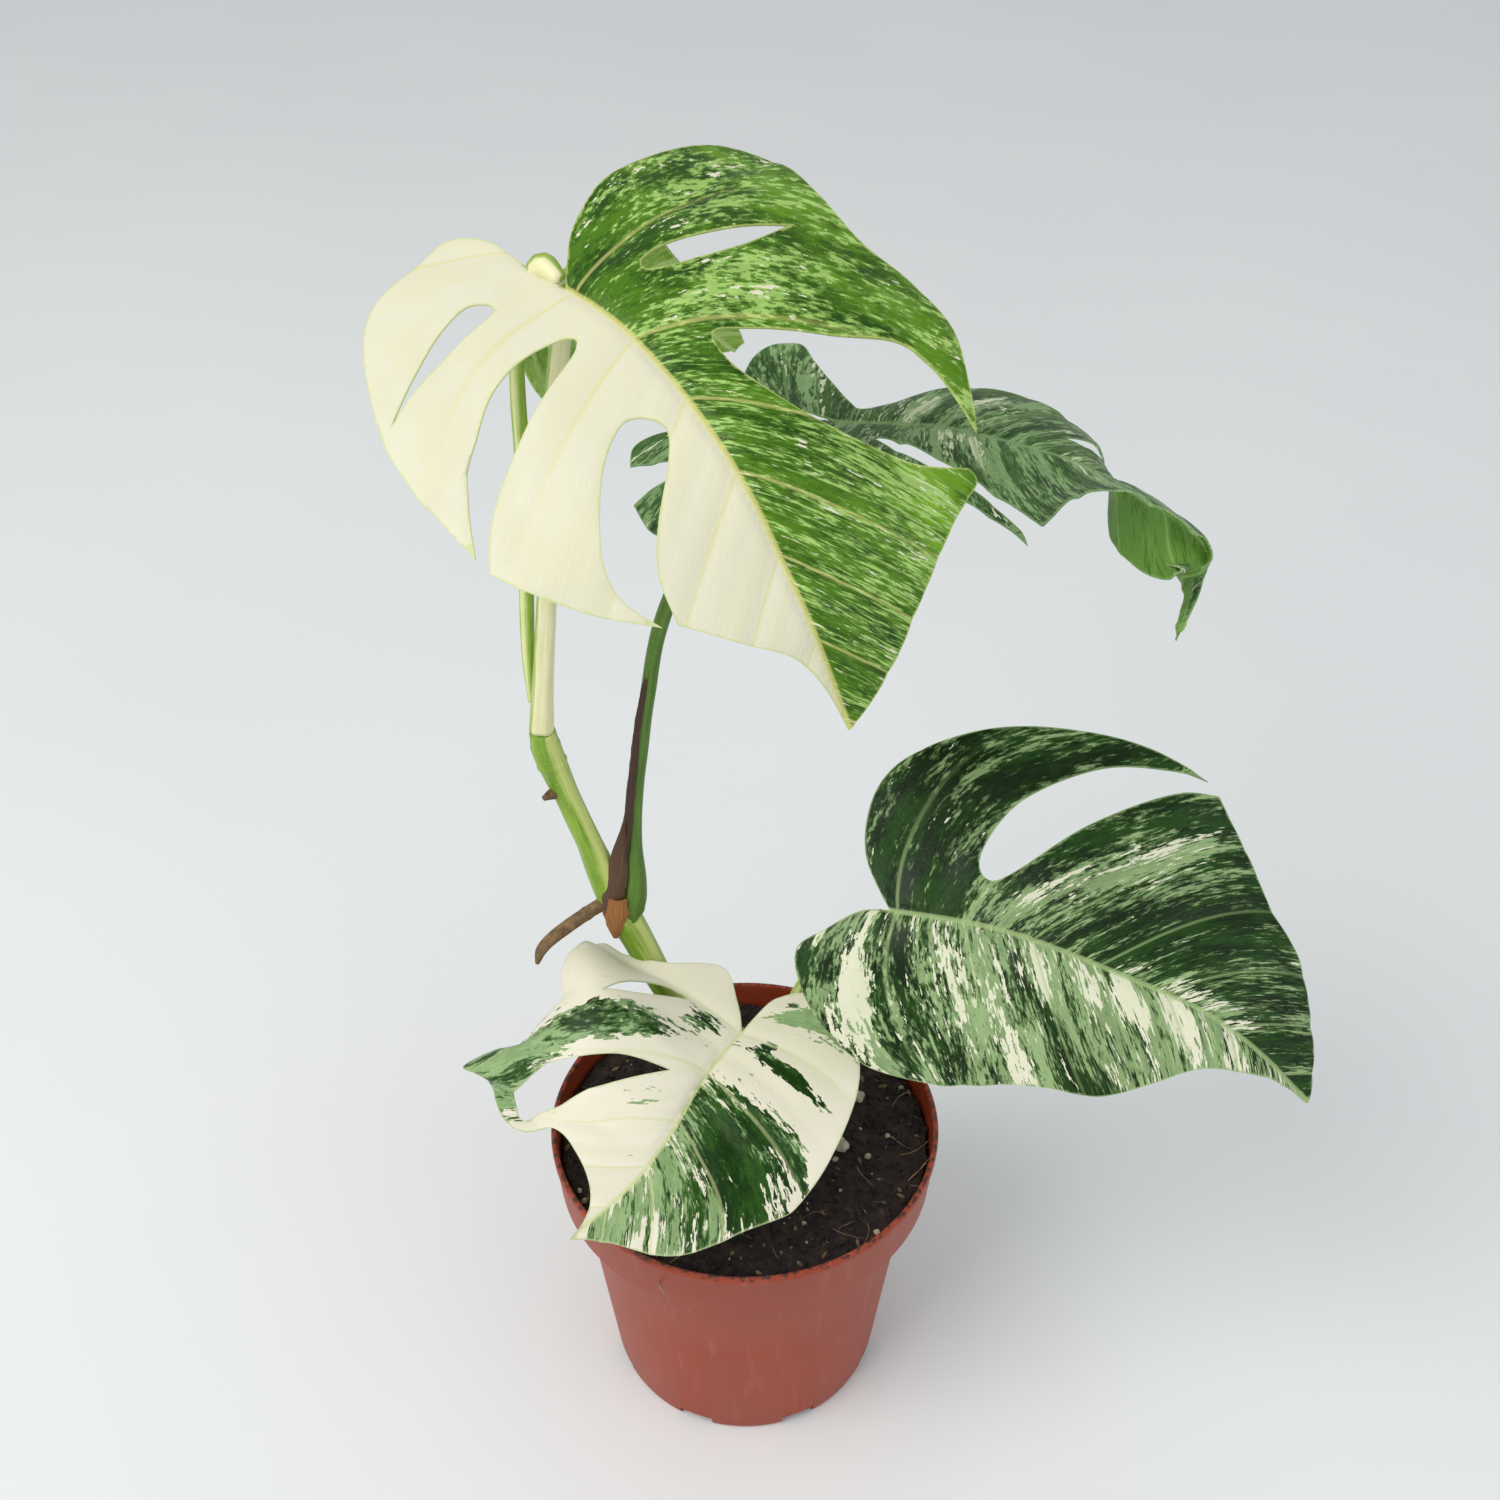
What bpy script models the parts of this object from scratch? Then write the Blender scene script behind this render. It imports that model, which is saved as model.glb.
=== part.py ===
"""A young variegated monstera in a round plastic nursery pot.

Sizes below are in millimetres and become metres as each mesh is made. The origin is the centre of the
pot's underside, +Z is up, and the plant leans to -X and shows its leaves' upper faces to -Y.
"""

from math import cos, pi, radians, sin

import bmesh
import bpy
import numpy as np
from mathutils import Vector
from mathutils.geometry import delaunay_2d_cdt

MM = 0.001
GAP = 0.35  # clearance between pieces that touch

# Pot
POT_HEIGHT = 126.0
RIM_RADIUS = 75.0
RIM_BAND = 24.0  # height of the upright band under the lip
SHOULDER_RADIUS = 65.5
FOOT_RADIUS = 54.0
WALL = 1.6
LIP = 2.4
FLOOR = 2.2
DRAIN_RING = 34.0
DRAIN_RADIUS = 4.0
DRAIN_COUNT = 6
NOTCH_COUNT = 8
NOTCH_WIDTH = 14.0
NOTCH_HEIGHT = 5.0

# Potting mix
SOIL_TOP = 117.5
SOIL_BUMP = 1.6

# Leaves
BLADE_THICKNESS = 0.9
BLADE_SPACING = 8.0  # between points inside a blade
MARGIN_SPACING = 4.5  # between points along its margin


def material(name, colour, roughness=0.5):
    """A plain Principled material in the piece's colour."""
    made = bpy.data.materials.new(name)
    made.use_nodes = True
    shader = made.node_tree.nodes["Principled BSDF"]
    shader.inputs["Base Color"].default_value = (*colour, 1.0)
    shader.inputs["Roughness"].default_value = roughness
    made.diffuse_color = (*colour, 1.0)
    return made


def collection(name):
    made = bpy.data.collections.new(name)
    bpy.context.scene.collection.children.link(made)
    return made


def add_object(name, data, finish, group):
    """Links mesh or curve data as a named piece with its own material."""
    made = bpy.data.objects.new(name, data)
    group.objects.link(made)
    data.materials.append(finish)
    return made


def make_cutter(obj):
    obj.hide_render = True
    obj.display_type = "WIRE"
    return obj


def shade_round(mesh, degrees=35.0):
    mesh.shade_smooth()
    mesh.set_sharp_from_angle(angle=radians(degrees))


def spline_points(points, spacing, closed=False):
    """A smooth curve through the given points. A point given twice makes a corner."""
    given = np.array(points, dtype=float)
    if closed:
        ring = np.vstack([given[-1:], given, given[:2]])
    else:
        before = 2 * given[0] - given[1]
        after = 2 * given[-1] - given[-2]
        ring = np.vstack([before, given, after])
    found = []
    for p0, p1, p2, p3 in zip(ring, ring[1:], ring[2:], ring[3:]):
        length = np.linalg.norm(p2 - p1)
        if length < 1e-6:
            continue
        count = max(1, round(length / spacing))
        t = (np.arange(count) / count)[:, None]
        straight = 2 * p1 + (p2 - p0) * t
        curved = (2 * p0 - 5 * p1 + 4 * p2 - p3) * t**2
        cubic = (3 * p1 - p0 - 3 * p2 + p3) * t**3
        found.append(0.5 * (straight + curved + cubic))
    if not closed:
        found.append(given[-1:])
    return np.vstack(found)


def unit(vectors):
    return vectors / np.linalg.norm(vectors, axis=-1, keepdims=True)


def between(at, stations, values):
    """Values given at a few stations, read off at any place between them."""
    columns = np.array(values, dtype=float).reshape(len(stations), -1)
    return np.stack([np.interp(at, stations, column) for column in columns.T], axis=-1)


# ---------------------------------------------------------------- turned and round pieces


def turned(name, profile, segments, finish, group):
    """A closed profile of (radius, height) points turned once round Z."""
    mesh = bpy.data.meshes.new(name)
    points = [(radius * MM, 0.0, height * MM) for radius, height in profile]
    mesh.from_pydata(points, [(i, i + 1) for i in range(len(points) - 1)], [])
    obj = add_object(name, mesh, finish, group)
    screw = obj.modifiers.new("turn", "SCREW")
    screw.steps = segments
    screw.render_steps = segments
    screw.use_merge_vertices = True
    screw.merge_threshold = 0.00001
    screw.use_smooth_shade = True
    return obj


def solid_mesh(obj, name):
    """The evaluated object as a plain mesh in world space, with its loose caps welded on."""
    bpy.context.view_layer.update()
    graph = bpy.context.evaluated_depsgraph_get()
    mesh = bpy.data.meshes.new_from_object(obj.evaluated_get(graph))
    mesh.transform(obj.matrix_world)
    mesh.name = name
    welded = bmesh.new()
    welded.from_mesh(mesh)
    bmesh.ops.remove_doubles(welded, verts=welded.verts, dist=0.000005)
    bmesh.ops.recalc_face_normals(welded, faces=welded.faces)
    welded.to_mesh(mesh)
    welded.free()
    return mesh


def made_mesh(obj, group):
    """Replaces a curve or a modified object by its plain mesh."""
    name = obj.name
    mesh = solid_mesh(obj, name)
    bpy.data.objects.remove(obj)
    made = bpy.data.objects.new(name, mesh)
    group.objects.link(made)
    return made


def cut(obj, cutter):
    boolean = obj.modifiers.new("cut", "BOOLEAN")
    boolean.operation = "DIFFERENCE"
    boolean.object = cutter


# ---------------------------------------------------------------- stems


def stem(name, route, radii, finish, group, spacing=6.0, sides=2):
    """A round stem along a smooth route; its thickness is given at each route point."""
    route = np.array(route, dtype=float)
    with_radii = np.column_stack([route, radii])
    smooth = spline_points(with_radii, spacing)
    curve = bpy.data.curves.new(name, "CURVE")
    curve.dimensions = "3D"
    curve.bevel_depth = MM
    curve.bevel_resolution = sides
    curve.use_fill_caps = True
    line = curve.splines.new("POLY")
    line.points.add(len(smooth) - 1)
    for point, (x, y, z, radius) in zip(line.points, smooth):
        point.co = (x * MM, y * MM, z * MM, 1.0)
        point.radius = radius
    obj = add_object(name, curve, finish, group)
    made = made_mesh(obj, group)
    shade_round(made.data, 50.0)
    return made


def stem_clearance(name, route, radii, group):
    """The same stem a little thicker, as a cutter for what grows out of it."""
    finish = bpy.data.materials[0]
    thicker = [radius + GAP for radius in radii]
    return make_cutter(stem(name, route, thicker, finish, group))


# ---------------------------------------------------------------- leaf blades


def inside(points, loop):
    """True for each flat point inside a closed loop."""
    x, y = points[:, 0][:, None], points[:, 1][:, None]
    ax, ay = loop[:, 0], loop[:, 1]
    bx, by = np.roll(ax, -1), np.roll(ay, -1)
    crosses = (ay > y) != (by > y)
    rise = np.where(by == ay, 1e-9, by - ay)
    left_of = x < (bx - ax) * (y - ay) / rise + ax
    return (crosses & left_of).sum(axis=1) % 2 == 1


def inner_points(loops, length, spacing):
    """A staggered grid inside the margin and outside the holes, with a row along the midrib."""
    margin = np.vstack(loops)
    rows = np.arange(margin[:, 1].min(), margin[:, 1].max(), spacing * 0.866)
    columns = np.arange(margin[:, 0].min(), margin[:, 0].max(), spacing)
    grid = [
        (column + (index % 2) * spacing / 2, row)
        for index, row in enumerate(rows)
        for column in columns
    ]
    grid = np.array(grid)
    midrib = np.array([(0.0, along) for along in np.arange(spacing, length - 3.0, spacing)])
    grid = grid[np.abs(grid[:, 0]) > 0.6 * spacing]
    both = np.vstack([midrib, grid])
    keep = inside(both, loops[0])
    for hole in loops[1:]:
        keep &= ~inside(both, hole)
    apart = np.linalg.norm(both[:, None] - margin[None], axis=2).min(axis=1)
    return both[keep & (apart > 0.55 * spacing)]


def flat_sheet(outline, holes, length, spacing, margin_spacing):
    """Triangles of the flat blade: (across, along) points and faces."""
    loops = [spline_points(outline, margin_spacing, closed=True)]
    loops += [spline_points(hole, margin_spacing, closed=True) for hole in holes]
    inner = inner_points(loops, length, spacing)
    points = [Vector(p) for loop in loops for p in loop]
    points += [Vector(p) for p in inner]
    edges = []
    start = 0
    for loop in loops:
        count = len(loop)
        edges += [(start + i, start + (i + 1) % count) for i in range(count)]
        start += count
    flat, _, faces, *_ = delaunay_2d_cdt(points, edges, [], 1, 1e-6)
    flat = np.array([tuple(p) for p in flat])
    centres = np.array([flat[list(face)].mean(axis=0) for face in faces])
    keep = inside(centres, loops[0])
    for hole in loops[1:]:
        keep &= ~inside(centres, hole)
    return flat, [face for face, kept in zip(faces, keep) if kept]


def side_profile(side, share, reach):
    """How far out and how far up a flat distance from the midrib ends, once the half is bent."""
    stations = side["at"]
    rise = np.radians(between(share, stations, side["rise"])[:, 0])
    bend = np.radians(between(share, stations, side["bend"])[:, 0]) / 100
    edge = between(share, stations, side.get("edge", [999.0] * len(stations)))[:, 0]
    curl = np.radians(between(share, stations, side.get("curl", [0.0] * len(stations)))[:, 0]) / 100
    steps = (np.arange(60) + 0.5) / 60
    walked = reach[:, None] * steps
    angle = rise[:, None] + bend[:, None] * walked
    angle = angle + curl[:, None] * np.maximum(0.0, walked - edge[:, None])
    return reach * np.cos(angle).mean(axis=1), reach * np.sin(angle).mean(axis=1)


def posed(leaf, flat):
    """Flat (across, along) points of a leaf bent into its posture, in millimetres."""
    curve = spline_points(leaf["midrib"], 0.5)
    steps = np.linalg.norm(np.diff(curve, axis=0), axis=1)
    walked = np.concatenate([[0.0], np.cumsum(steps)])
    length = walked[-1]
    tangents = unit(np.gradient(curve, walked, axis=0))
    across, along = flat[:, 0], flat[:, 1]
    base = between(along, walked, curve)
    tangent = unit(between(along, walked, tangents))
    base = base + tangent * np.minimum(along, 0.0)[:, None]
    share = np.clip(along / length, -0.4, 1.0)
    facings = leaf["facing"]
    facing = between(share, np.linspace(0.0, 1.0, len(facings)), facings)
    facing = unit(facing - (facing * tangent).sum(axis=1, keepdims=True) * tangent)
    right = np.cross(tangent, facing)
    result = base.copy()
    for sign, side in ((-1, leaf["left"]), (1, leaf["right"])):
        here = across * sign >= 0
        out, up = side_profile(side, share, np.abs(across))
        bent = base + right * (sign * out)[:, None] + facing * up[:, None]
        result[here] = bent[here]
    for place, size, push in leaf.get("pushes", []):
        away = ((flat - np.array(place)) / np.array(size)) ** 2
        result = result + np.exp(-away.sum(axis=1))[:, None] * np.array(push)
    return result


def blade(name, leaf, finish, group):
    """A leaf blade: a bent sheet with its holes, thickened to both sides."""
    flat, faces = flat_sheet(
        leaf["outline"], leaf["holes"], leaf["length"], BLADE_SPACING, MARGIN_SPACING
    )
    mesh = bpy.data.meshes.new(name)
    mesh.from_pydata([tuple(p) for p in posed(leaf, flat) * MM], [], faces)
    mesh.flip_normals()
    mesh.shade_smooth()
    obj = add_object(name, mesh, finish, group)
    thicken = obj.modifiers.new("thickness", "SOLIDIFY")
    thicken.thickness = BLADE_THICKNESS * MM
    thicken.offset = 0.0
    return obj


# Each outline is (across, along) from the petiole's end, negative to the left of the midrib,
# and runs from the notch at the base down the right half to the tip and back up the left half.

TOP_LEAF = {
    "length": 158.0,
    "midrib": [(-50, 14, 459), (-28, -8, 452), (-2, -40, 431), (18, -62, 396), (30, -70, 365)],
    "facing": [(0.0, -0.55, 0.83), (0.15, -0.75, 0.60), (0.30, -0.90, 0.35)],
    "left": {"at": [0, 0.5, 1], "rise": [5, 0, -5], "bend": [-40, -35, -30]},
    "right": {"at": [0, 0.5, 1], "rise": [5, 5, 5], "bend": [-25, -25, -25]},
    "outline": [
        (0, 0), (0, 0), (2, -14), (3, -29), (10, -40), (22, -40), (42, -38), (55, -26), (67, -5),
        (74, 15), (74, 38), (72, 61), (72, 61), (65, 43), (55, 23), (42, 12), (26, 10), (13, 15),
        (14, 20), (30, 27), (50, 41), (64, 55), (71, 68), (71, 68), (63, 84), (52, 98), (37, 109),
        (37, 109), (44, 96), (42, 80), (31, 61), (18, 51), (10, 58), (14, 67), (25, 81), (32, 95),
        (33, 110), (33, 110), (20, 121), (8, 131), (3, 142), (0, 158), (0, 158), (-16, 148),
        (-36, 131), (-52, 117), (-65, 110), (-64, 105), (-64, 105), (-47, 97), (-28, 78), (-17, 56),
        (-17, 42), (-26, 45), (-45, 57), (-66, 70), (-72, 97), (-72, 97), (-83, 70), (-82, 50),
        (-76, 32), (-83, 8), (-79, -10), (-66, -19), (-40, -23), (-18, -16), (-6, -6),
    ],
    "holes": [
        [(19, -9), (23, -16), (36, -15), (50, -10), (63, -4), (63, -4), (50, -7), (34, -8)],
        [(-18, 15), (-22, 12), (-41, 18), (-60, 26), (-60, 26), (-44, 25), (-26, 20)],
    ],
}

RIGHT_LEAF = {
    "length": 167.0,
    "midrib": [
        (30, 76, 386), (69, 54, 394), (109, 36, 390), (138, 24, 378), (147, 18, 364), (135, 5, 339),
    ],
    "facing": [
        (0.1, 0.0, 1.0), (0.15, -0.03, 0.98), (0.2, -0.05, 0.97), (0.26, 0.5, 0.8), (0.35, 0.1, 0.87),
    ],
    "left": {
        "at": [-0.3, 0, 0.4, 0.5, 0.56, 0.62, 0.7, 0.8, 1],
        "rise": [25, 15, 5, -4, -16, -60, -85, -125, -140],
        "bend": [-15, -35, -60, -65, -55, -45, -25, 0, 0],
    },
    "right": {
        "at": [-0.3, 0, 0.4, 0.6, 0.8, 1],
        "rise": [-20, -5, -5, 10, -20, -60],
        "bend": [-40, -20, -25, -10, 0, 0],
    },
    "outline": [
        (0, 0), (0, 0), (3, -14), (6, -36), (11, -58), (19, -70), (28, -68), (28, -68), (25, -56),
        (25, -42), (29, -44), (35, -54), (43, -60), (43, -60), (54, -46), (57, -24), (54, 0), (40, 22),
        (34, 36), (34, 50), (37, 64), (45, 77), (53, 85), (53, 85), (46, 81), (36, 71), (30, 61),
        (26, 50), (20, 36), (12, 22), (12, 30), (17, 42), (22, 54), (28, 66), (35, 76), (44, 87),
        (44, 87), (34, 89), (24, 92), (20, 99), (19, 108), (14, 120), (7, 134), (4, 150), (0, 167),
        (0, 167), (-6, 160), (-12, 151), (-18, 139), (-20, 126), (-21, 114), (-22, 104), (-20, 96),
        (-17, 86), (-14, 78), (-20, 82), (-28, 87), (-34, 93), (-34, 93), (-37, 82), (-39, 68),
        (-39, 54),
        (-36, 42), (-28, 31), (-16, 19), (-8, 9), (-12, 0), (-21, -11), (-32, -23), (-40, -32),
        (-37, -41), (-27, -45), (-14, -41), (-5, -20),
    ],
    "holes": [],
}

LOW_RIGHT_LEAF = {
    "length": 161.0,
    "midrib": [(51, 0, 235), (88, -12, 237), (125, -26, 231), (162, -40, 220), (192, -55, 197)],
    "facing": [(0.10, -0.55, 0.83), (0.15, -0.55, 0.83), (0.45, -0.45, 0.78)],
    "left": {"at": [-0.3, 0, 0.5, 1], "rise": [5, 12, 12, 0], "bend": [-15, -15, -15, -20]},
    "right": {"at": [-0.3, 0, 0.5, 1], "rise": [-15, -12, -10, 0], "bend": [-60, -60, -65, -60]},
    "outline": [
        (0, 0), (0, 0), (2, -10), (10, -21), (19, -31), (32, -28), (46, -18), (57, -3), (61, 20),
        (56, 46), (47, 72), (42, 90), (31, 106), (19, 120), (10, 135), (3, 148), (0, 161), (0, 161),
        (-20, 151), (-37, 134), (-46, 119), (-60, 107), (-74, 93), (-74, 93), (-66, 76), (-45, 56),
        (-22, 40), (-16, 32), (-24, 28), (-46, 36), (-66, 54), (-75, 74), (-77, 88), (-77, 88),
        (-80, 64), (-76, 40), (-66, 14), (-54, -6), (-38, -14), (-18, -12),
    ],
    "holes": [],
}

LOW_FRONT_LEAF = {
    "length": 103.0,
    "midrib": [(-1, 5, 169), (-15, -16, 166), (-28, -38, 158), (-40, -56, 155), (-60, -74, 149)],
    "facing": [(0.10, 0.0, 1.0), (-0.05, -0.20, 0.95), (-0.15, -0.35, 0.90)],
    "left": {"at": [-0.3, 0, 0.5, 1], "rise": [10, 8, 5, 0], "bend": [-20, -40, -50, -40]},
    "right": {
        "at": [-0.3, 0, 0.1, 0.25, 0.45, 0.6, 0.8, 1],
        "rise": [8, 8, 20, 40, 30, 8, 0, 0],
        "bend": [-15, -15, -15, -30, -30, -15, -30, -40],
        "edge": [90, 70, 45, 35, 40, 50, 90, 90],
        "curl": [0, 0, -100, -230, -190, -60, 0, 0],
    },
    "outline": [
        (0, 0), (0, 0), (8, -9), (22, -19), (40, -8), (56, -3), (67, -2), (71, 10), (80, 26),
        (88, 44), (86, 64), (75, 82), (60, 90), (46, 88), (37, 76), (24, 79), (9, 86), (2, 94),
        (0, 103), (0, 103), (-10, 94), (-28, 82), (-40, 68), (-53, 50), (-55, 20), (-48, -6),
        (-34, -22), (-16, -29), (-3, -20),
    ],
    "holes": [
        [(24, 1), (33, 3), (41, 11), (50, 23), (50, 23), (40, 18), (30, 9)],
        [
            (13, 31), (13, 31), (32, 36), (47, 47), (57, 60), (61, 76), (56, 84), (50, 84),
            (46, 72), (38, 58), (25, 42),
        ],
    ],
    "pushes": [((74, 10), (24, 26), (0.4, -6.5, 6.2))],
}

HIDDEN_LEAF = {
    "length": 80.0,
    "midrib": [(-68, 46, 433), (-48, 56, 441), (-24, 64, 434), (-2, 70, 414)],
    "facing": [(0.0, 0.95, 0.25), (0.1, 0.95, 0.30), (0.3, 0.90, 0.30)],
    "left": {"at": [0, 0.5, 1], "rise": [10, 10, 5], "bend": [-25, -25, -25]},
    "right": {"at": [0, 0.5, 1], "rise": [10, 10, 5], "bend": [-25, -25, -25]},
    "outline": [
        (0, 0), (0, 0), (4, 3), (6, 12), (9, 20), (16, 27), (23, 33), (23, 33), (20, 40), (15, 46),
        (12, 53), (12, 61), (9, 70), (4, 80), (4, 80), (-5, 79), (-12, 73), (-20, 64), (-27, 54),
        (-31, 42), (-31, 29), (-24, 22), (-18, 16), (-24, 14), (-30, 6), (-34, -2), (-34, -2),
        (-24, -4), (-14, -4), (-5, -2),
    ],
    "holes": [[(-8, 26), (-12, 24), (-22, 34), (-22, 34), (-14, 33)]],
}


# ================================================================ the plant

for leftover in list(bpy.data.objects):
    bpy.data.objects.remove(leftover)

plant = collection("potted_monstera")
cutters = collection("cutters")

terracotta = material("terracotta_plastic", (0.42, 0.11, 0.07), 0.45)
peat = material("potting_mix", (0.03, 0.02, 0.017), 0.95)
bark = material("bark", (0.45, 0.33, 0.18), 0.85)
stem_green = material("stem_green", (0.30, 0.42, 0.07), 0.40)
petiole_green = material("petiole_green", (0.09, 0.20, 0.05), 0.40)
petiole_cream = material("petiole_cream", (0.72, 0.70, 0.38), 0.40)
dry_brown = material("dry_sheath", (0.09, 0.04, 0.025), 0.75)
husk_orange = material("husk", (0.45, 0.17, 0.05), 0.60)
root_brown = material("aerial_root", (0.24, 0.15, 0.09), 0.70)
cream_green = material("half_cream_blade", (0.62, 0.68, 0.38), 0.35)
grey_green = material("grey_green_blade", (0.07, 0.15, 0.07), 0.35)
dark_green = material("dark_green_blade", (0.05, 0.14, 0.04), 0.35)
cream = material("cream_blade", (0.80, 0.78, 0.52), 0.35)
light_green = material("light_green_blade", (0.22, 0.40, 0.12), 0.35)


# ---------------------------------------------------------------- pot

BAND_BOTTOM = POT_HEIGHT - RIM_BAND


def wall_radius(height):
    """The body's outer radius at a height below the rim band."""
    return FOOT_RADIUS + (SHOULDER_RADIUS - FOOT_RADIUS) * height / BAND_BOTTOM


pot_profile = [
    (0.0, FLOOR),
    (wall_radius(FLOOR) - WALL - 2.0, FLOOR),
    (wall_radius(FLOOR + 2.0) - WALL, FLOOR + 2.0),
    (SHOULDER_RADIUS - WALL, BAND_BOTTOM + 1.0),
    (RIM_RADIUS - 2.2 - WALL, BAND_BOTTOM + 5.0),
    (RIM_RADIUS - LIP, POT_HEIGHT - 2.0),
    (RIM_RADIUS - LIP + 0.4, POT_HEIGHT - 0.5),
    (RIM_RADIUS - LIP / 2, POT_HEIGHT),
    (RIM_RADIUS - 0.4, POT_HEIGHT - 0.5),
    (RIM_RADIUS, POT_HEIGHT - 2.0),
    (RIM_RADIUS - 2.2, BAND_BOTTOM + 0.6),
    (RIM_RADIUS - 3.0, BAND_BOTTOM),
    (SHOULDER_RADIUS, BAND_BOTTOM - 0.4),
    (wall_radius(2.0), 2.0),
    (FOOT_RADIUS - 1.5, 0.0),
    (0.0, 0.0),
]
pot = turned("pot", pot_profile, 72, terracotta, plant)


def drain_cutter(index):
    angle = 2 * pi * (index + 0.5) / DRAIN_COUNT
    bpy.ops.mesh.primitive_cylinder_add(vertices=20, radius=DRAIN_RADIUS * MM, depth=12 * MM)
    made = bpy.context.active_object
    made.location = (DRAIN_RING * MM * cos(angle), DRAIN_RING * MM * sin(angle), 0.0)
    return made


def notch_cutter(index):
    """A slot through the pot's bottom corner."""
    angle = 2 * pi * index / NOTCH_COUNT - 0.62 * pi
    bpy.ops.mesh.primitive_cube_add(size=1.0)
    made = bpy.context.active_object
    made.dimensions = (12 * MM, NOTCH_WIDTH * MM, 2 * NOTCH_HEIGHT * MM)
    bpy.ops.object.transform_apply(location=False, rotation=False, scale=True)
    made.rotation_euler = (0.0, 0.0, angle)
    made.location = (FOOT_RADIUS * MM * cos(angle), FOOT_RADIUS * MM * sin(angle), 0.0)
    return made


def move_to(obj, group):
    for holder in list(obj.users_collection):
        holder.objects.unlink(obj)
    group.objects.link(obj)


pot_cutters = [drain_cutter(i) for i in range(DRAIN_COUNT)]
pot_cutters += [notch_cutter(i) for i in range(NOTCH_COUNT)]
for number, cutter in enumerate(pot_cutters):
    cutter.name = f"pot_cutter_{number}"
    move_to(make_cutter(cutter), cutters)
    cut(pot, cutter)


# ---------------------------------------------------------------- potting mix


def soil_height(x, y):
    """The uneven top of the potting mix, which rises a little round the stem."""
    waves = sin(0.11 * x + 0.7) * cos(0.13 * y - 0.4) + 0.5 * sin(0.31 * x - 0.23 * y)
    mound = 2.5 * 2.718 ** (-((x + 2) ** 2 + (y - 30) ** 2) / 700.0)
    return SOIL_TOP + SOIL_BUMP * 0.6 * waves + mound


inner_foot = wall_radius(FLOOR + 2.0) - WALL - GAP
inner_top = RIM_RADIUS - 2.2 - WALL - GAP
soil_profile = [(0.0, SOIL_TOP)]
soil_profile += [(ring * inner_top / 9, SOIL_TOP) for ring in range(1, 10)]
soil_profile += [
    (inner_top, BAND_BOTTOM + 5.0),
    (SHOULDER_RADIUS - WALL - GAP, BAND_BOTTOM + 1.0),
    (inner_foot, FLOOR + 2.0 + GAP),
    (inner_foot - 2.0, FLOOR + GAP),
    (0.0, FLOOR + GAP),
]
soil = made_mesh(turned("soil", soil_profile, 36, peat, plant), plant)
for vertex in soil.data.vertices:
    if vertex.co.z > (SOIL_TOP - 0.01) * MM:
        x, y = vertex.co.x / MM, vertex.co.y / MM
        fade = 1.0 - (x * x + y * y) / inner_top**2
        vertex.co.z = (SOIL_TOP + (soil_height(x, y) - SOIL_TOP) * max(fade, 0.0)) * MM


# ---------------------------------------------------------------- stem, petioles and roots

STEM_ROUTE = [
    (-4, 38, 98), (-14, 38, 128), (-30, 38, 157), (-40, 38, 185), (-48.5, 38, 207),
    (-57, 38, 233), (-64, 38, 256), (-69.5, 38, 275), (-71, 38, 285),
]
STEM_RADII = [4.8, 4.8, 4.7, 4.8, 5.8, 4.4, 4.5, 5.6, 4.6]
TOP_PETIOLE_ROUTE = [
    (-71.1, 37.6, 286.4), (-69.5, 37, 303), (-67.1, 36, 325), (-63.5, 33, 358), (-60.4, 29, 390),
    (-56.3, 23, 420), (-53.2, 19, 440), (-50.5, 16.5, 454.5),
]
TOP_PETIOLE_RADII = [4.4, 3.8, 3.4, 3.3, 3.3, 3.2, 3.1, 2.6]
HIDDEN_PETIOLE_ROUTE = [
    (-74, 41, 296), (-73.6, 40.5, 322), (-71.4, 41, 361), (-70.3, 41, 390), (-70, 41.5, 410),
    (-69.5, 43, 427),
]
HIDDEN_PETIOLE_RADII = [1.6, 2.4, 2.5, 2.5, 2.5, 2.3]
RIGHT_PETIOLE_ROUTE = [
    (-48, 38.5, 206), (-42.6, 40, 219), (-41, 40, 233), (-39.6, 41, 252), (-37, 42, 274),
    (-34, 44, 295), (-28.5, 47, 324), (-15, 54, 354), (6, 63, 374), (26.5, 73, 381.5),
]
RIGHT_PETIOLE_RADII = [3.6, 3.4, 2.9, 2.7, 2.7, 2.7, 2.7, 2.6, 2.6, 2.8]
LOW_RIGHT_PETIOLE_ROUTE = [
    (9, 33, 98), (13, 33, 130), (21, 30, 165), (33, 18, 200), (43, 7.5, 222), (48.5, 2.5, 230),
]
LOW_RIGHT_PETIOLE_RADII = [2.8, 2.8, 2.7, 2.6, 2.5, 2.5]
LOW_FRONT_PETIOLE_ROUTE = [
    (-7, 24, 98), (-6, 22, 130), (-4, 16, 154), (-1.5, 9.5, 163.5),
]
LOW_FRONT_PETIOLE_RADII = [2.5, 2.5, 2.3, 2.2]
ROOT_ROUTE = [
    (-49, 37, 207), (-55, 34, 206), (-64, 30, 201.5), (-72, 26, 197), (-76.5, 24, 192.5),
    (-78.5, 23.5, 187),
]
ROOT_RADII = [2.9, 2.8, 2.5, 2.4, 2.3, 1.2]
NUB_ROUTE = [(-66, 38, 258), (-68.5, 35, 259.5), (-71.5, 31.5, 260)]
NUB_RADII = [2.4, 2.2, 1.2]

main_stem = stem("main_stem", STEM_ROUTE, STEM_RADII, stem_green, plant, 7.0)
stem_cutter = stem_clearance("stem_clearance", STEM_ROUTE, STEM_RADII, cutters)

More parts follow.
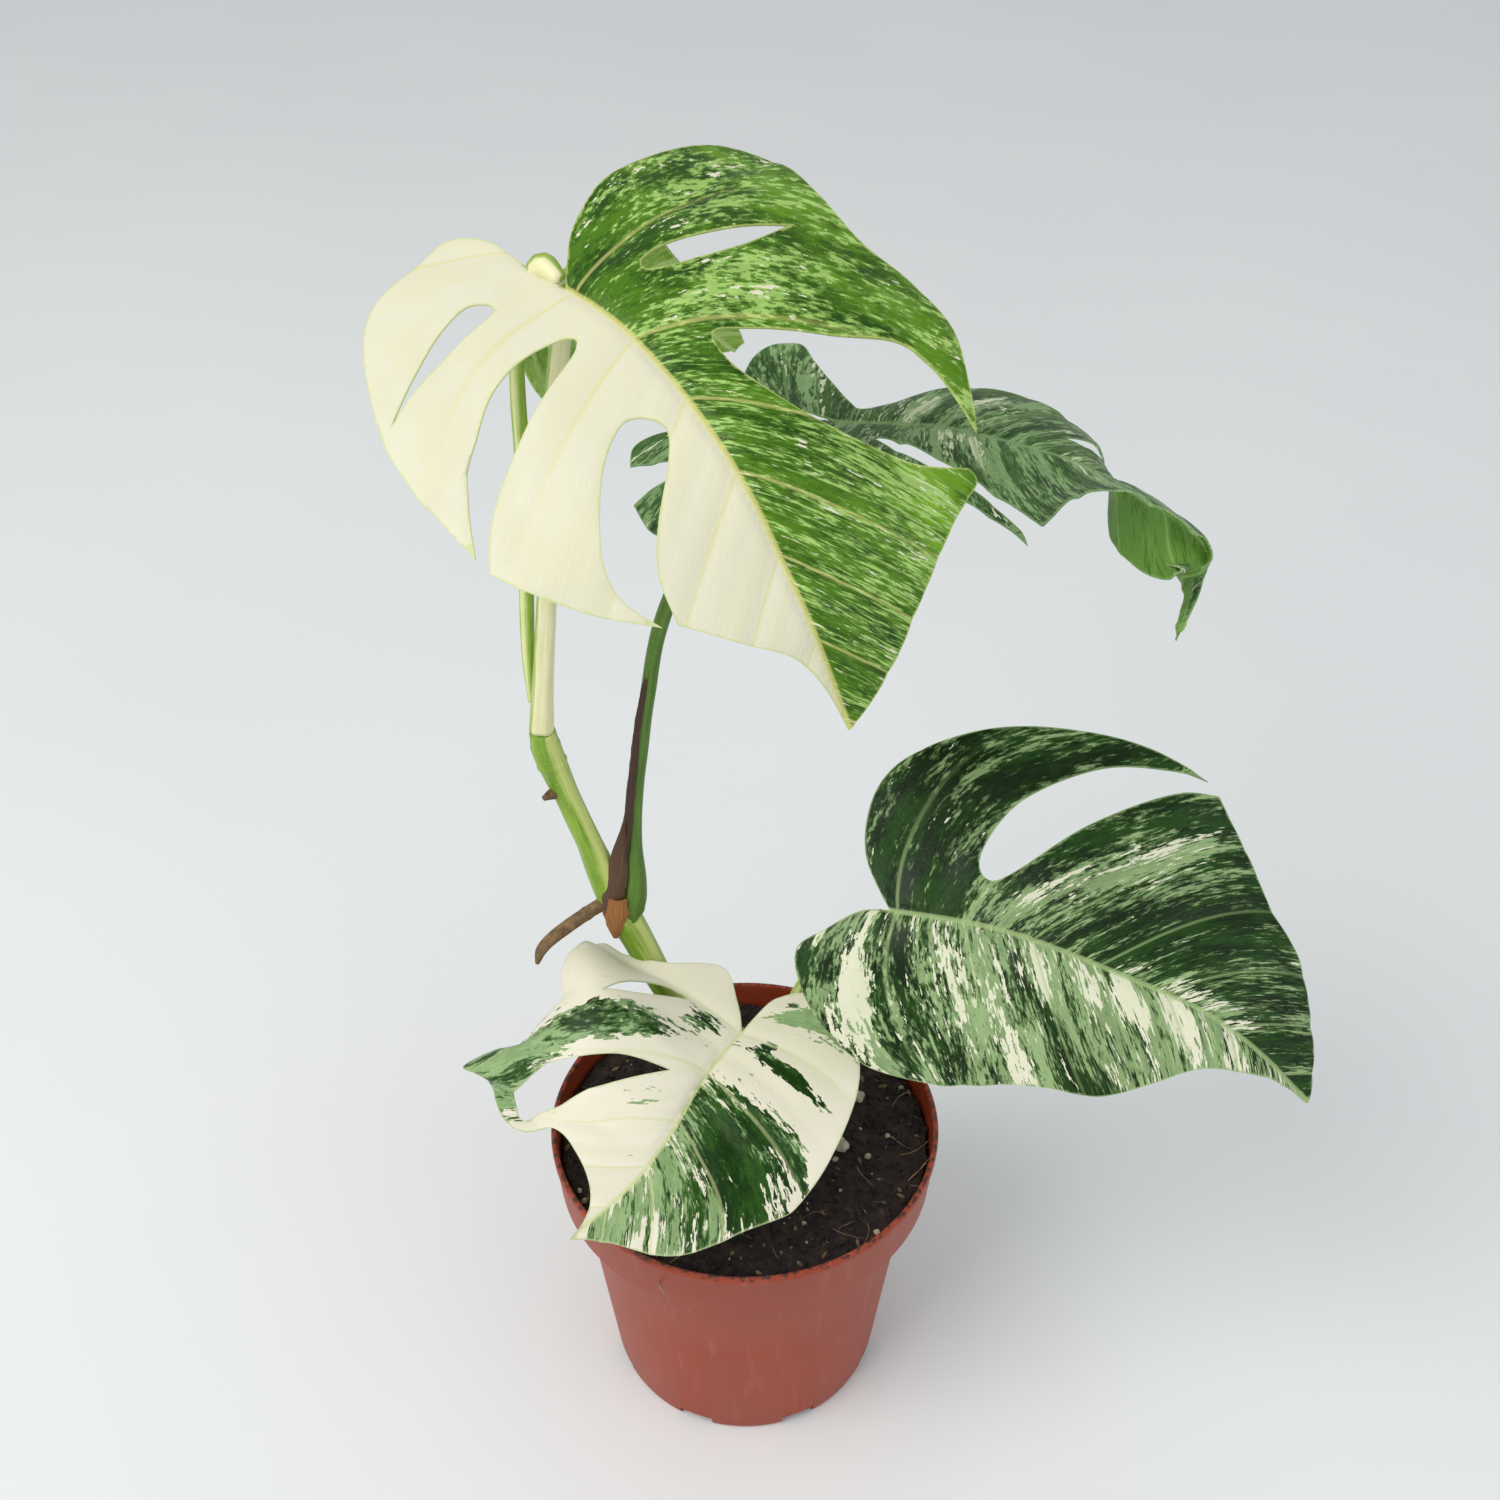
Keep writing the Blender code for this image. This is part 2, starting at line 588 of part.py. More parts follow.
petiole_top = stem("petiole_top", TOP_PETIOLE_ROUTE, TOP_PETIOLE_RADII, petiole_cream, plant, 12.0)
petiole_cutter = stem_clearance(
    "petiole_clearance", TOP_PETIOLE_ROUTE, TOP_PETIOLE_RADII, cutters
)
petiole_hidden = stem(
    "petiole_hidden", HIDDEN_PETIOLE_ROUTE, HIDDEN_PETIOLE_RADII, stem_green, plant, 12.0
)
cut(petiole_hidden, petiole_cutter)

petiole_right = stem(
    "petiole_right", RIGHT_PETIOLE_ROUTE, RIGHT_PETIOLE_RADII, petiole_green, plant, 10.0
)
cut(petiole_right, stem_cutter)

petiole_low_right = stem(
    "petiole_low_right", LOW_RIGHT_PETIOLE_ROUTE, LOW_RIGHT_PETIOLE_RADII, stem_green, plant, 12.0
)
petiole_low_front = stem(
    "petiole_low_front", LOW_FRONT_PETIOLE_ROUTE, LOW_FRONT_PETIOLE_RADII, stem_green, plant, 12.0
)

aerial_root = stem("aerial_root", ROOT_ROUTE, ROOT_RADII, root_brown, plant, 5.0)
cut(aerial_root, stem_cutter)
root_nub = stem("root_nub", NUB_ROUTE, NUB_RADII, husk_orange, plant, 3.0)
cut(root_nub, stem_cutter)

rooted = (
    ("main", STEM_ROUTE, STEM_RADII),
    ("low_right", LOW_RIGHT_PETIOLE_ROUTE, LOW_RIGHT_PETIOLE_RADII),
    ("low_front", LOW_FRONT_PETIOLE_ROUTE, LOW_FRONT_PETIOLE_RADII),
)
for name, route, radii in rooted:
    start = np.array(route[0], dtype=float)
    deeper = start + unit(start - np.array(route[1], dtype=float)) * GAP
    socket_route = [tuple(deeper)] + list(route[1:3])
    socket = stem_clearance(f"{name}_socket", socket_route, radii[:3], cutters)
    cut(soil, socket)


# ---------------------------------------------------------------- dry sheath and husk


def strip(name, route, widths, outward, curve_depth, finish):
    """A thin dry strip along a route, hollow towards the stem that it lies against."""
    path = spline_points(np.column_stack([route, widths]), 8.0)
    centres, wide = path[:, :3], path[:, 3]
    along = unit(np.gradient(centres, axis=0))
    outward = unit(np.array(outward, dtype=float))
    across = unit(np.cross(along, outward))
    shares = np.linspace(-1.0, 1.0, 5)
    rows = [
        centres + across * (wide * share / 2)[:, None] - outward * (wide * curve_depth * share**2)[:, None]
        for share in shares
    ]
    points = np.stack(rows, axis=1).reshape(-1, 3)
    count = len(shares)
    faces = [
        (row * count + i, row * count + i + 1, (row + 1) * count + i + 1, (row + 1) * count + i)
        for row in range(len(centres) - 1)
        for i in range(count - 1)
    ]
    mesh = bpy.data.meshes.new(name)
    mesh.from_pydata([tuple(p) for p in points * MM], [], faces)
    mesh.shade_smooth()
    obj = add_object(name, mesh, finish, plant)
    thicken = obj.modifiers.new("thickness", "SOLIDIFY")
    thicken.thickness = 0.5 * MM
    thicken.offset = 0.0
    return obj


SHEATH_ROUTE = [
    (-47.5, 35.5, 227), (-45.5, 36, 238), (-43.8, 37, 252), (-41.2, 38, 274), (-38, 40, 295),
    (-33.2, 43, 316),
]
SHEATH_WIDTHS = [7.0, 6.0, 5.0, 4.4, 3.6, 1.6]
dry_sheath = strip("dry_sheath", SHEATH_ROUTE, SHEATH_WIDTHS, (-0.7, -0.7, 0.1), 0.16, dry_brown)

HUSK_ROUTE = [(-44.5, 30.6, 212), (-46, 30.3, 206), (-47, 30.4, 200), (-46.5, 30.8, 193)]
HUSK_WIDTHS = [8.0, 8.5, 6.0, 1.5]
stem_husk = strip("stem_husk", HUSK_ROUTE, HUSK_WIDTHS, (0.1, -1.0, 0.1), 0.20, husk_orange)


# ---------------------------------------------------------------- leaf blades

blade("leaf_top", TOP_LEAF, cream_green, plant)
blade("leaf_right", RIGHT_LEAF, grey_green, plant)
blade("leaf_low_right", LOW_RIGHT_LEAF, dark_green, plant)
blade("leaf_low_front", LOW_FRONT_LEAF, cream, plant)
blade("leaf_hidden", HIDDEN_LEAF, light_green, plant)


# ---------------------------------------------------------------- loose chips on the potting mix


def chip(name, place, size, turn, finish):
    """A small broken lump that rests on the potting mix."""
    made = bmesh.new()
    bmesh.ops.create_icosphere(made, subdivisions=1, radius=1.0)
    for vertex in made.verts:
        x, y, z = vertex.co
        dent = 1.0 + 0.22 * sin(5.1 * x + turn) * cos(4.3 * y - turn) - 0.12 * sin(7.0 * z)
        vertex.co = Vector((x * size[0], y * size[1], z * size[2])) * dent * MM / 2
    lowest = min(vertex.co.z for vertex in made.verts)
    x, y = place
    mesh = bpy.data.meshes.new(name)
    made.to_mesh(mesh)
    made.free()
    obj = add_object(name, mesh, finish, plant)
    obj.rotation_euler = (0.0, 0.0, turn)
    obj.location = (x * MM, y * MM, (soil_height(x, y) + SOIL_BUMP) * MM - lowest)


chip("chip_front", (37, -10), (6, 7, 5), 0.4, bark)
chip("chip_right", (45, 16), (7, 5, 4), 1.9, bark)
chip("chip_back", (-30, -22), (6, 5, 4), 2.7, bark)
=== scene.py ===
"""A young variegated monstera in a round plastic nursery pot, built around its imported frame.

Lengths below are in millimetres and become metres as each mesh is made. The origin is the centre of
the pot's underside, +Z is up, and the leaves show their upper faces to -Y.
"""

from functools import partial
from math import cos, pi, radians, sin

import bmesh
import bpy
import numpy as np
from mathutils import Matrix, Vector, noise
from mathutils.geometry import delaunay_2d_cdt


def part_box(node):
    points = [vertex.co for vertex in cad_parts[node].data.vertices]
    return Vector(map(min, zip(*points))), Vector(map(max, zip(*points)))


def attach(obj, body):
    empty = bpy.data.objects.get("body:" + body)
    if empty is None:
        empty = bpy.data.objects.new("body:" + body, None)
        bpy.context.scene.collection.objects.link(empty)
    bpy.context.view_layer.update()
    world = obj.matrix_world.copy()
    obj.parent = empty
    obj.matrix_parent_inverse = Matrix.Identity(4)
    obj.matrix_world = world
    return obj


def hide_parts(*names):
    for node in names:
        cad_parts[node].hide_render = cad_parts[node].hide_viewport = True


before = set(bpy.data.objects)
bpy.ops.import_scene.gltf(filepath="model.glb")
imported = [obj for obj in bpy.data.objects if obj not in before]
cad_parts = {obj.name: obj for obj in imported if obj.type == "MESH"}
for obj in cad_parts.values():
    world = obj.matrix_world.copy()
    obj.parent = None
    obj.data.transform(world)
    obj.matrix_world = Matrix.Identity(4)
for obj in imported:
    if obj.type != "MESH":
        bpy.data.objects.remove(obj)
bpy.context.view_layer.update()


# ======== floor, light and camera
# A plain pale floor, a broad soft light from the upper left as from a window, and a weak fill from
# the right. The camera looks down on the plant from the front.

MM = 0.001
FLOOR_SIZE = 9000.0
CAMERA_PLACE = (0.002, -0.4686, 0.6634)
CAMERA_TILT = 52.65
CAMERA_LENS = 43.2


def linear(code):
    """A linear RGBA colour from an sRGB hex code."""
    shares = [int(code[i : i + 2], 16) / 255 for i in (1, 3, 5)]
    return [s / 12.92 if s <= 0.04045 else ((s + 0.055) / 1.055) ** 2.4 for s in shares] + [1.0]


def feed(tree, node, feeds):
    """Sets inputs of a node. Each feed is a plain value for that input, or the socket linked to it."""
    for name, value in feeds.items():
        if isinstance(value, bpy.types.NodeSocket):
            tree.links.new(value, node.inputs[name])
        else:
            node.inputs[name].default_value = value


def add(tree, kind, feeds, out=0, **settings):
    """Adds a node and returns one of its outputs, the first unless another is named."""
    made = tree.nodes.new(kind)
    for name, value in settings.items():
        setattr(made, name, value)
    feed(tree, made, feeds)
    return made.outputs[out]


def speckle(tree, place, scale, detail=2.0, rough=0.5, out=0, **settings):
    """Cloudy noise."""
    feeds = {"Vector": place, "Scale": scale, "Detail": detail, "Roughness": rough}
    return add(tree, "ShaderNodeTexNoise", feeds, out, **settings)


def blend(tree, share, below, above, **settings):
    """One colour over another. A colour is an sRGB hex code or a socket."""
    below, above = (linear(colour) if isinstance(colour, str) else colour for colour in (below, above))
    return add(tree, "ShaderNodeMix", {0: share, 6: below, 7: above}, 2, data_type="RGBA", **settings)


def finish(name):
    """A new node material, its tree, and the object's own coordinates in it."""
    made = bpy.data.materials.new(name)
    made.use_nodes = True
    return made, made.node_tree, add(made.node_tree, "ShaderNodeTexCoord", {}, "Object")


def coat(tree, colour, roughness, bump=None, ior=None, shine=0.5):
    """Feeds the material's shader. A bump is its height, strength and distance."""
    feeds = {"Base Color": colour, "Roughness": roughness, "Specular IOR Level": shine}
    if ior:
        feeds["IOR"] = ior
    if bump:
        names = ("Height", "Strength", "Distance")
        feeds["Normal"] = add(tree, "ShaderNodeBump", dict(zip(names, bump)))
    feed(tree, tree.nodes["Principled BSDF"], feeds)


def mesh_of(name, points, faces, edges=()):
    """A mesh from points in millimetres."""
    mesh = bpy.data.meshes.new(name)
    mesh.from_pydata([[value * MM for value in point] for point in points], edges, faces)
    return mesh


def link(name, data, *finishes):
    """Links a mesh, lamp or camera as an object, with its materials."""
    made = bpy.data.objects.new(name, data)
    bpy.context.scene.collection.objects.link(made)
    for one in finishes:
        data.materials.append(one)
    return made


# Matt white floor paint: an even pale tone with a very faint mottle.
floor_paint, tree, place = finish("floor_paint")
coat(tree, blend(tree, speckle(tree, place, 3.0, 3.0), "#E3E7E8", "#EDEFEF"), 0.7)
half = FLOOR_SIZE / 2
corners = [(-half, -half, 0), (half, -half, 0), (half, half, 0), (-half, half, 0)]
link("floor", mesh_of("floor", corners, [(0, 1, 2, 3)]), floor_paint)

world = bpy.data.worlds.new("soft_room")
bpy.context.scene.world = world
world.use_nodes = True
backdrop = world.node_tree.nodes["Background"]
feed(world.node_tree, backdrop, {"Color": linear("#F1F3F5"), "Strength": 0.66})

for name, spot, size, power, tint in (
    ("window_light", (-1.3, -0.9, 1.9), 1.6, 34.0, "#FFFDF8"),
    ("fill_light", (1.6, -1.2, 1.2), 1.8, 9.0, "#F1F5FF"),
):
    lamp = bpy.data.lights.new(name, "AREA")
    lamp.size = size
    lamp.energy = power
    lamp.color = linear(tint)[:3]
    holder = link(name, lamp)
    holder.location = spot
    aim = Vector((0.0, 0.0, 0.25)) - Vector(spot)
    holder.rotation_euler = aim.to_track_quat("-Z", "Y").to_euler()

camera = link("camera", bpy.data.cameras.new("camera"))
camera.location = CAMERA_PLACE
camera.rotation_euler = (radians(CAMERA_TILT), 0.0, 0.0)
camera.data.lens = CAMERA_LENS
camera.data.sensor_width = 36.0
bpy.context.scene.camera = camera
bpy.context.scene.view_settings.view_transform = "Standard"


# ======== pot
# A thin nursery pot of terracotta-coloured polypropylene, injection moulded in one piece: a tapered
# body, an upright rim band under a rolled lip, a foot cut by drain slots, and round drain holes.

POT_HEIGHT = 126.0
RIM_RADIUS = 75.0
BAND_BOTTOM = 102.0
SHOULDER_RADIUS = 65.5
FOOT_RADIUS = 54.0
POT_WALL = 1.6
POT_FLOOR = 2.2
DRAIN_RING = 34.0
DRAIN_RADIUS = 4.0
DRAIN_HOLES = 6
FOOT_SLOTS = 8
FOOT_SLOT = (12.0, 14.0, 10.0)


def calc(tree, operation, *values):
    """Arithmetic on sockets and numbers."""
    return add(tree, "ShaderNodeMath", dict(enumerate(values)), operation=operation)


def ramp(tree, value, low, high, start=0.0, end=1.0, **settings):
    """Maps low..high to start..end, and holds beyond them."""
    feeds = {"Value": value, "From Min": low, "From Max": high, "To Min": start, "To Max": end}
    return add(tree, "ShaderNodeMapRange", feeds, **settings)


def stretch(tree, place, scale):
    """Coordinates scaled along each axis."""
    return add(tree, "ShaderNodeMapping", {"Vector": place, "Scale": scale})


def baked(obj):
    """An object's mesh with its modifiers applied. The object itself is deleted."""
    bpy.context.view_layer.update()
    graph = bpy.context.evaluated_depsgraph_get()
    mesh = bpy.data.meshes.new_from_object(obj.evaluated_get(graph))
    mesh.name = obj.name
    bpy.data.objects.remove(obj)
    return mesh


def plain(obj, angle=40.0):
    """Replaces an object by its evaluated mesh, merged, facing out and smooth but for real corners."""
    name = obj.name
    mesh = baked(obj)
    merged = bmesh.new()
    merged.from_mesh(mesh)
    bmesh.ops.remove_doubles(merged, verts=merged.verts, dist=0.002 * MM)
    bmesh.ops.recalc_face_normals(merged, faces=merged.faces)
    merged.to_mesh(mesh)
    merged.free()
    mesh.shade_smooth()
    mesh.set_sharp_from_angle(angle=radians(angle))
    return link(name, mesh)


def settle(piece, slot, *nodes):
    """The piece rides on the plant's one body and stands for those solids. The slot is not used."""
    if nodes:
        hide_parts(*nodes)
    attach(piece, "root")


def wall_radius(height):
    """The body's outer radius at a height below the band."""
    return FOOT_RADIUS + (SHOULDER_RADIUS - FOOT_RADIUS) * height / BAND_BOTTOM


# Moulded polypropylene: satin, a little paler where thin, with dusty smears, fine scuffs and a dirty lip.
polypropylene, tree, place = finish("terracotta_polypropylene")
cloud = speckle(tree, place, 24.0, 5.0, 0.6)
body = blend(tree, cloud, "#8C3319", "#A2452A")
scuff = speckle(tree, stretch(tree, place, (260.0, 260.0, 18.0)), 1.0, 4.0)
dusty = blend(tree, ramp(tree, scuff, 0.58, 1.2), body, "#B0705A")
height = add(tree, "ShaderNodeSeparateXYZ", {"Vector": place}, "Z")
dirt = calc(tree, "MULTIPLY", ramp(tree, height, 0.119, 0.128), speckle(tree, place, 420.0, 3.0))
soiled = blend(tree, ramp(tree, dirt, 0.36, 0.44), dusty, "#4A2A20")
dull = ramp(tree, cloud, 0.0, 1.0, 0.38, 0.55)
coat(tree, soiled, dull, (speckle(tree, place, 900.0), 0.12, 0.0003), 1.49, 0.38)

INNER_FOOT = wall_radius(POT_FLOOR) - POT_WALL
INNER_SHOULDER = SHOULDER_RADIUS - POT_WALL
# Radius and height, from the middle of the floor up the inside, over the lip and down the outside.
POT_PROFILE = [
    (0.0, POT_FLOOR), (INNER_FOOT - 2.5, POT_FLOOR), (INNER_FOOT - 0.8, POT_FLOOR + 0.7),
    (wall_radius(POT_FLOOR + 2.5) - POT_WALL, POT_FLOOR + 2.5), (INNER_SHOULDER, BAND_BOTTOM + 1.0),
    (INNER_SHOULDER + 1.0, BAND_BOTTOM + 2.2), (RIM_RADIUS - 3.6, BAND_BOTTOM + 4.8),
    (RIM_RADIUS - 3.3, BAND_BOTTOM + 7.0), (RIM_RADIUS - 2.3, POT_HEIGHT - 3.0),
    (RIM_RADIUS - 2.3, POT_HEIGHT - 1.2), (RIM_RADIUS - 2.0, POT_HEIGHT - 0.4),
    (RIM_RADIUS - 1.2, POT_HEIGHT), (RIM_RADIUS - 0.4, POT_HEIGHT - 0.4),
    (RIM_RADIUS, POT_HEIGHT - 1.3), (RIM_RADIUS - 0.1, POT_HEIGHT - 3.2),
    (RIM_RADIUS - 0.7, POT_HEIGHT - 4.0), (RIM_RADIUS - 2.2, BAND_BOTTOM + 1.4),
    (RIM_RADIUS - 2.6, BAND_BOTTOM + 0.5), (RIM_RADIUS - 3.6, BAND_BOTTOM),
    (SHOULDER_RADIUS + 0.6, BAND_BOTTOM - 0.2), (SHOULDER_RADIUS - 0.1, BAND_BOTTOM - 1.0),
    (wall_radius(60.0), 60.0), (wall_radius(3.0), 3.0), (FOOT_RADIUS - 0.3, 1.0),
    (FOOT_RADIUS - 1.4, 0.0), (0.0, 0.0),
]
spans = [(i, i + 1) for i in range(len(POT_PROFILE) - 1)]
profile = [(radius, 0.0, up) for radius, up in POT_PROFILE]
pot = link("nursery_pot", mesh_of("nursery_pot", profile, [], spans), polypropylene)
turn = pot.modifiers.new("turn", "SCREW")
turn.steps = turn.render_steps = 160
turn.use_merge_vertices = True
turn.merge_threshold = 0.01 * MM

drill = bmesh.new()
for number in range(DRAIN_HOLES):
    angle = 2 * pi * (number + 0.5) / DRAIN_HOLES
    radius = DRAIN_RADIUS * MM
    made = bmesh.ops.create_cone(
        drill, cap_ends=True, segments=32, radius1=radius, radius2=radius, depth=12 * MM
    )
    spot = Vector((cos(angle), sin(angle), 0.0)) * DRAIN_RING * MM
    bmesh.ops.translate(drill, verts=made["verts"], vec=spot)
for number in range(FOOT_SLOTS):
    angle = 2 * pi * number / FOOT_SLOTS - 0.62 * pi
    made = bmesh.ops.create_cube(drill, size=MM)
    bmesh.ops.scale(drill, verts=made["verts"], vec=FOOT_SLOT)
    bmesh.ops.translate(drill, verts=made["verts"], vec=(FOOT_RADIUS * MM, 0.0, 0.0))
    for vertex in made["verts"]:
        x, y, z = vertex.co
        vertex.co = (x * cos(angle) - y * sin(angle), x * sin(angle) + y * cos(angle), z)
drill_mesh = bpy.data.meshes.new("drill")
drill.to_mesh(drill_mesh)
drill.free()
drill = link("drill", drill_mesh)
holes = pot.modifiers.new("holes", "BOOLEAN")
holes.operation = "DIFFERENCE"
holes.object = drill
pot = plain(pot, 35.0)
bpy.data.objects.remove(drill)
settle(pot, "terracotta_plastic", "pot")


# ======== potting mix
# Damp peat and composted bark that fills the pot to just under the rim, lumpy on top, with crumbs of
# peat, white grains of perlite, small chips of bark and fine root fibres lying loose on it.

SOIL_TOP = 117.5
SOIL_RADIUS = 70.6
SOIL_BOTTOM = 2.8
SOIL_SIDE = [(70.4, 112.0), (69.6, 107.5), (63.4, 102.8), (52.6, 5.2), (50.4, SOIL_BOTTOM)]
RINGS = 52
SPOKES = 168


def soil_height(x, y):
    """The lumpy top, which rises a little round the stem and dips at the wall."""
    waves = sin(0.11 * x + 0.7) * cos(0.13 * y - 0.4) + 0.5 * sin(0.31 * x - 0.23 * y)
    mound = 2.5 * 2.718 ** (-((x + 2) ** 2 + (y - 30) ** 2) / 700.0)
    lumps = 1.5 * noise.noise(Vector((x, y, 3.0)) * 0.16) + 0.9 * noise.noise(Vector((x, y, 9.0)) * 0.42)
    away = (x * x + y * y) / SOIL_RADIUS**2
    return SOIL_TOP + (waves + mound) * max(1.0 - away, 0.0) + lumps - 1.5 * away**8


def tones(tree, share, *stops):
    """A colour ramp. Each stop is a position and an sRGB hex code."""
    made = add(tree, "ShaderNodeValToRGB", {"Fac": share})
    elements = made.node.color_ramp.elements
    elements[0].position, elements[1].position = stops[0][0], stops[-1][0]
    for position, _ in stops[1:-1]:
        elements.new(position)
    for element, (_, code) in zip(elements, stops):
        element.color = linear(code)
    return made


def quads(rows, across, first=0, closed=True):
    """Faces between rows of points, each row a ring or an open line."""
    return [
        (low + i, low + (i + 1) % across, low + across + (i + 1) % across, low + across + i)
        for low in range(first, first + (rows - 1) * across, across)
        for i in range(across if closed else across - 1)
    ]


# Moist peat: nearly black brown, rough, with paler dry crumbs and a glint of damp.
peat, tree, place = finish("damp_peat")
clods = speckle(tree, place, 170.0, 6.0, 0.7)
earth = tones(tree, clods, (0.32, "#120D0D"), (0.5, "#281E1C"), (0.72, "#4A3830"))
coat(tree, earth, 0.85, (speckle(tree, place, 700.0, 4.0, 0.7), 0.8, 0.0012))

# Perlite: expanded volcanic glass, matt off-white and pitted, stained by the peat.
perlite, tree, place = finish("stained_perlite")
coat(tree, blend(tree, speckle(tree, place, 380.0, 4.0), "#7E7460", "#D6CFB4"), 0.9)

# Composted bark: dull red-brown to straw chips with a fine fibrous grain.
bark, tree, place = finish("composted_bark")
lines = speckle(tree, stretch(tree, place, (1500.0, 300.0, 1500.0)), 1.0, 3.0, out="Color")
straw = blend(tree, speckle(tree, place, 60.0, 1.0), "#4E3325", "#B49A72")
coat(tree, blend(tree, 0.6, straw, lines, blend_type="MULTIPLY"), 0.85)

# Dry root fibre: pale tan, matt.
root_fibre, tree, place = finish("dry_root_fibre")
coat(tree, blend(tree, speckle(tree, place, 90.0), "#5A4030", "#B59A78"), 0.8)

hoops = [(SOIL_RADIUS * ring / RINGS, None) for ring in range(1, RINGS + 1)] + SOIL_SIDE
soil_points = [(0.0, 0.0, soil_height(0.0, 0.0))]
for reach, up in hoops:
    for spoke in range(SPOKES):
        x, y = reach * cos(2 * pi * spoke / SPOKES), reach * sin(2 * pi * spoke / SPOKES)
        soil_points.append((x, y, soil_height(x, y) if up is None else up))
soil_points.append((0.0, 0.0, SOIL_BOTTOM))
soil_faces = [(0, 1 + i, 1 + (i + 1) % SPOKES) for i in range(SPOKES)]
soil_faces += quads(len(hoops), SPOKES, 1)
last = len(soil_points) - 1
soil_faces += [(last, last - 1 - i, last - 1 - (i + 1) % SPOKES) for i in range(SPOKES)]
soil = plain(link("peat_fill", mesh_of("peat_fill", soil_points, soil_faces), peat), 60.0)
settle(soil, "potting_mix", "soil")


def scatter(name, amount, smallest, largest, flatness, ragged, seed, surface, fibre=False):
    """Strews grains or fibres over the top of the peat with a Geometry Nodes tree, as one plain mesh."""
    values = {
        "Amount per square metre": amount,
        "Smallest": smallest * MM,
        "Largest": largest * MM,
        "Flatness": flatness,
        "Raggedness": ragged * MM,
        "Seed": seed,
    }
    tree = bpy.data.node_groups.new(name, "GeometryNodeTree")
    tree.interface.new_socket("Geometry", in_out="INPUT", socket_type="NodeSocketGeometry")
    sockets = {}
    for label in values:
        sort = "NodeSocketInt" if label == "Seed" else "NodeSocketFloat"
        sockets[label] = tree.interface.new_socket(label, in_out="INPUT", socket_type=sort).identifier
    tree.interface.new_socket("Geometry", in_out="OUTPUT", socket_type="NodeSocketGeometry")
    given = tree.nodes.new("NodeGroupInput").outputs
    facing = add(tree, "GeometryNodeInputNormal", {})
    upward = add(tree, "ShaderNodeSeparateXYZ", {"Vector": facing}, "Z")
    top = add(tree, "FunctionNodeCompare", {0: upward, 1: 0.5}, operation="GREATER_THAN")
    feeds = {"Mesh": given["Geometry"], "Selection": top, "Seed": given["Seed"]}
    feeds["Density"] = given["Amount per square metre"]
    points = add(tree, "GeometryNodeDistributePointsOnFaces", feeds)
    if fibre:
        feeds = {"Start": (-1.0, 0.0, -0.08), "Middle": (0.1, 0.9, 0.35), "End": (1.0, 0.1, -0.05)}
        arc = add(tree, "GeometryNodeCurveQuadraticBezier", {"Resolution": 8} | feeds)
        feeds = {"Resolution": 4, "Radius": given["Flatness"]}
        feeds = {"Profile Curve": add(tree, "GeometryNodeCurvePrimitiveCircle", feeds), "Fill Caps": True}
        grain = add(tree, "GeometryNodeCurveToMesh", {"Curve": arc} | feeds)
        high = (0.5, 0.5, 2 * pi)
    else:
        ball = add(tree, "GeometryNodeMeshIcoSphere", {"Radius": 1.0, "Subdivisions": 2})
        shaped = add(tree, "ShaderNodeCombineXYZ", {"X": 1.0, "Y": 0.75, "Z": given["Flatness"]})
        grain = add(tree, "GeometryNodeTransform", {"Geometry": ball, "Scale": shaped})
        high = (pi, pi, 2 * pi)
    feeds = {0: tuple(-v for v in high), 1: high, "Seed": given["Seed"]}
    turn = add(tree, "FunctionNodeRandomValue", feeds, data_type="FLOAT_VECTOR")
    feeds = {2: 0.0, 3: 1.0, "Seed": given["Seed"]}
    size = add(tree, "FunctionNodeRandomValue", feeds, 1, data_type="FLOAT")
    scale = ramp(tree, calc(tree, "POWER", size, 2.5), 0.0, 1.0, given["Smallest"], given["Largest"])
    feeds = {"Points": points, "Instance": grain, "Rotation": turn, "Scale": scale}
    laid = add(tree, "GeometryNodeInstanceOnPoints", feeds)
    loose = add(tree, "GeometryNodeRealizeInstances", {"Geometry": laid})
    jag = speckle(tree, add(tree, "GeometryNodeInputPosition", {}), 900.0, 1.0, out="Color")
    centred = add(tree, "ShaderNodeVectorMath", {0: jag, 1: (0.5, 0.5, 0.5)}, operation="SUBTRACT")
    feeds = {0: centred, "Scale": given["Raggedness"]}
    push = add(tree, "ShaderNodeVectorMath", feeds, operation="SCALE")
    broken = add(tree, "GeometryNodeSetPosition", {"Geometry": loose, "Offset": push})
    coated = add(tree, "GeometryNodeSetMaterial", {"Geometry": broken, "Material": surface})
    tree.links.new(coated, tree.nodes.new("NodeGroupOutput").inputs[0])

    holder = link(name, soil.data.copy())
    strewn = holder.modifiers.new("strew", "NODES")
    strewn.node_group = tree
    for label, value in values.items():
        strewn[sockets[label]] = value
    mesh = baked(holder)
    mesh.shade_smooth()
    return link(name, mesh)


settle(scatter("peat_crumbs", 130000, 0.5, 1.9, 0.7, 1.3, 4, peat), "potting_mix")
settle(scatter("perlite_grains", 4200, 0.5, 1.7, 0.8, 0.9, 11, perlite), "bark")
settle(scatter("bark_bits", 6500, 0.8, 2.6, 0.35, 0.9, 23, bark), "bark")
settle(scatter("root_fibres", 5200, 3.0, 11.0, 0.018, 1.6, 31, root_fibre, True), "potting_mix")


# ======== main stem
# The climbing stem, green and fleshy: two internodes, each ending in a swollen node with a ring scar
# where an old leaf fell, and a cut of cream running up one side.


def unit(vectors):
    return vectors / np.linalg.norm(vectors, axis=-1, keepdims=True)


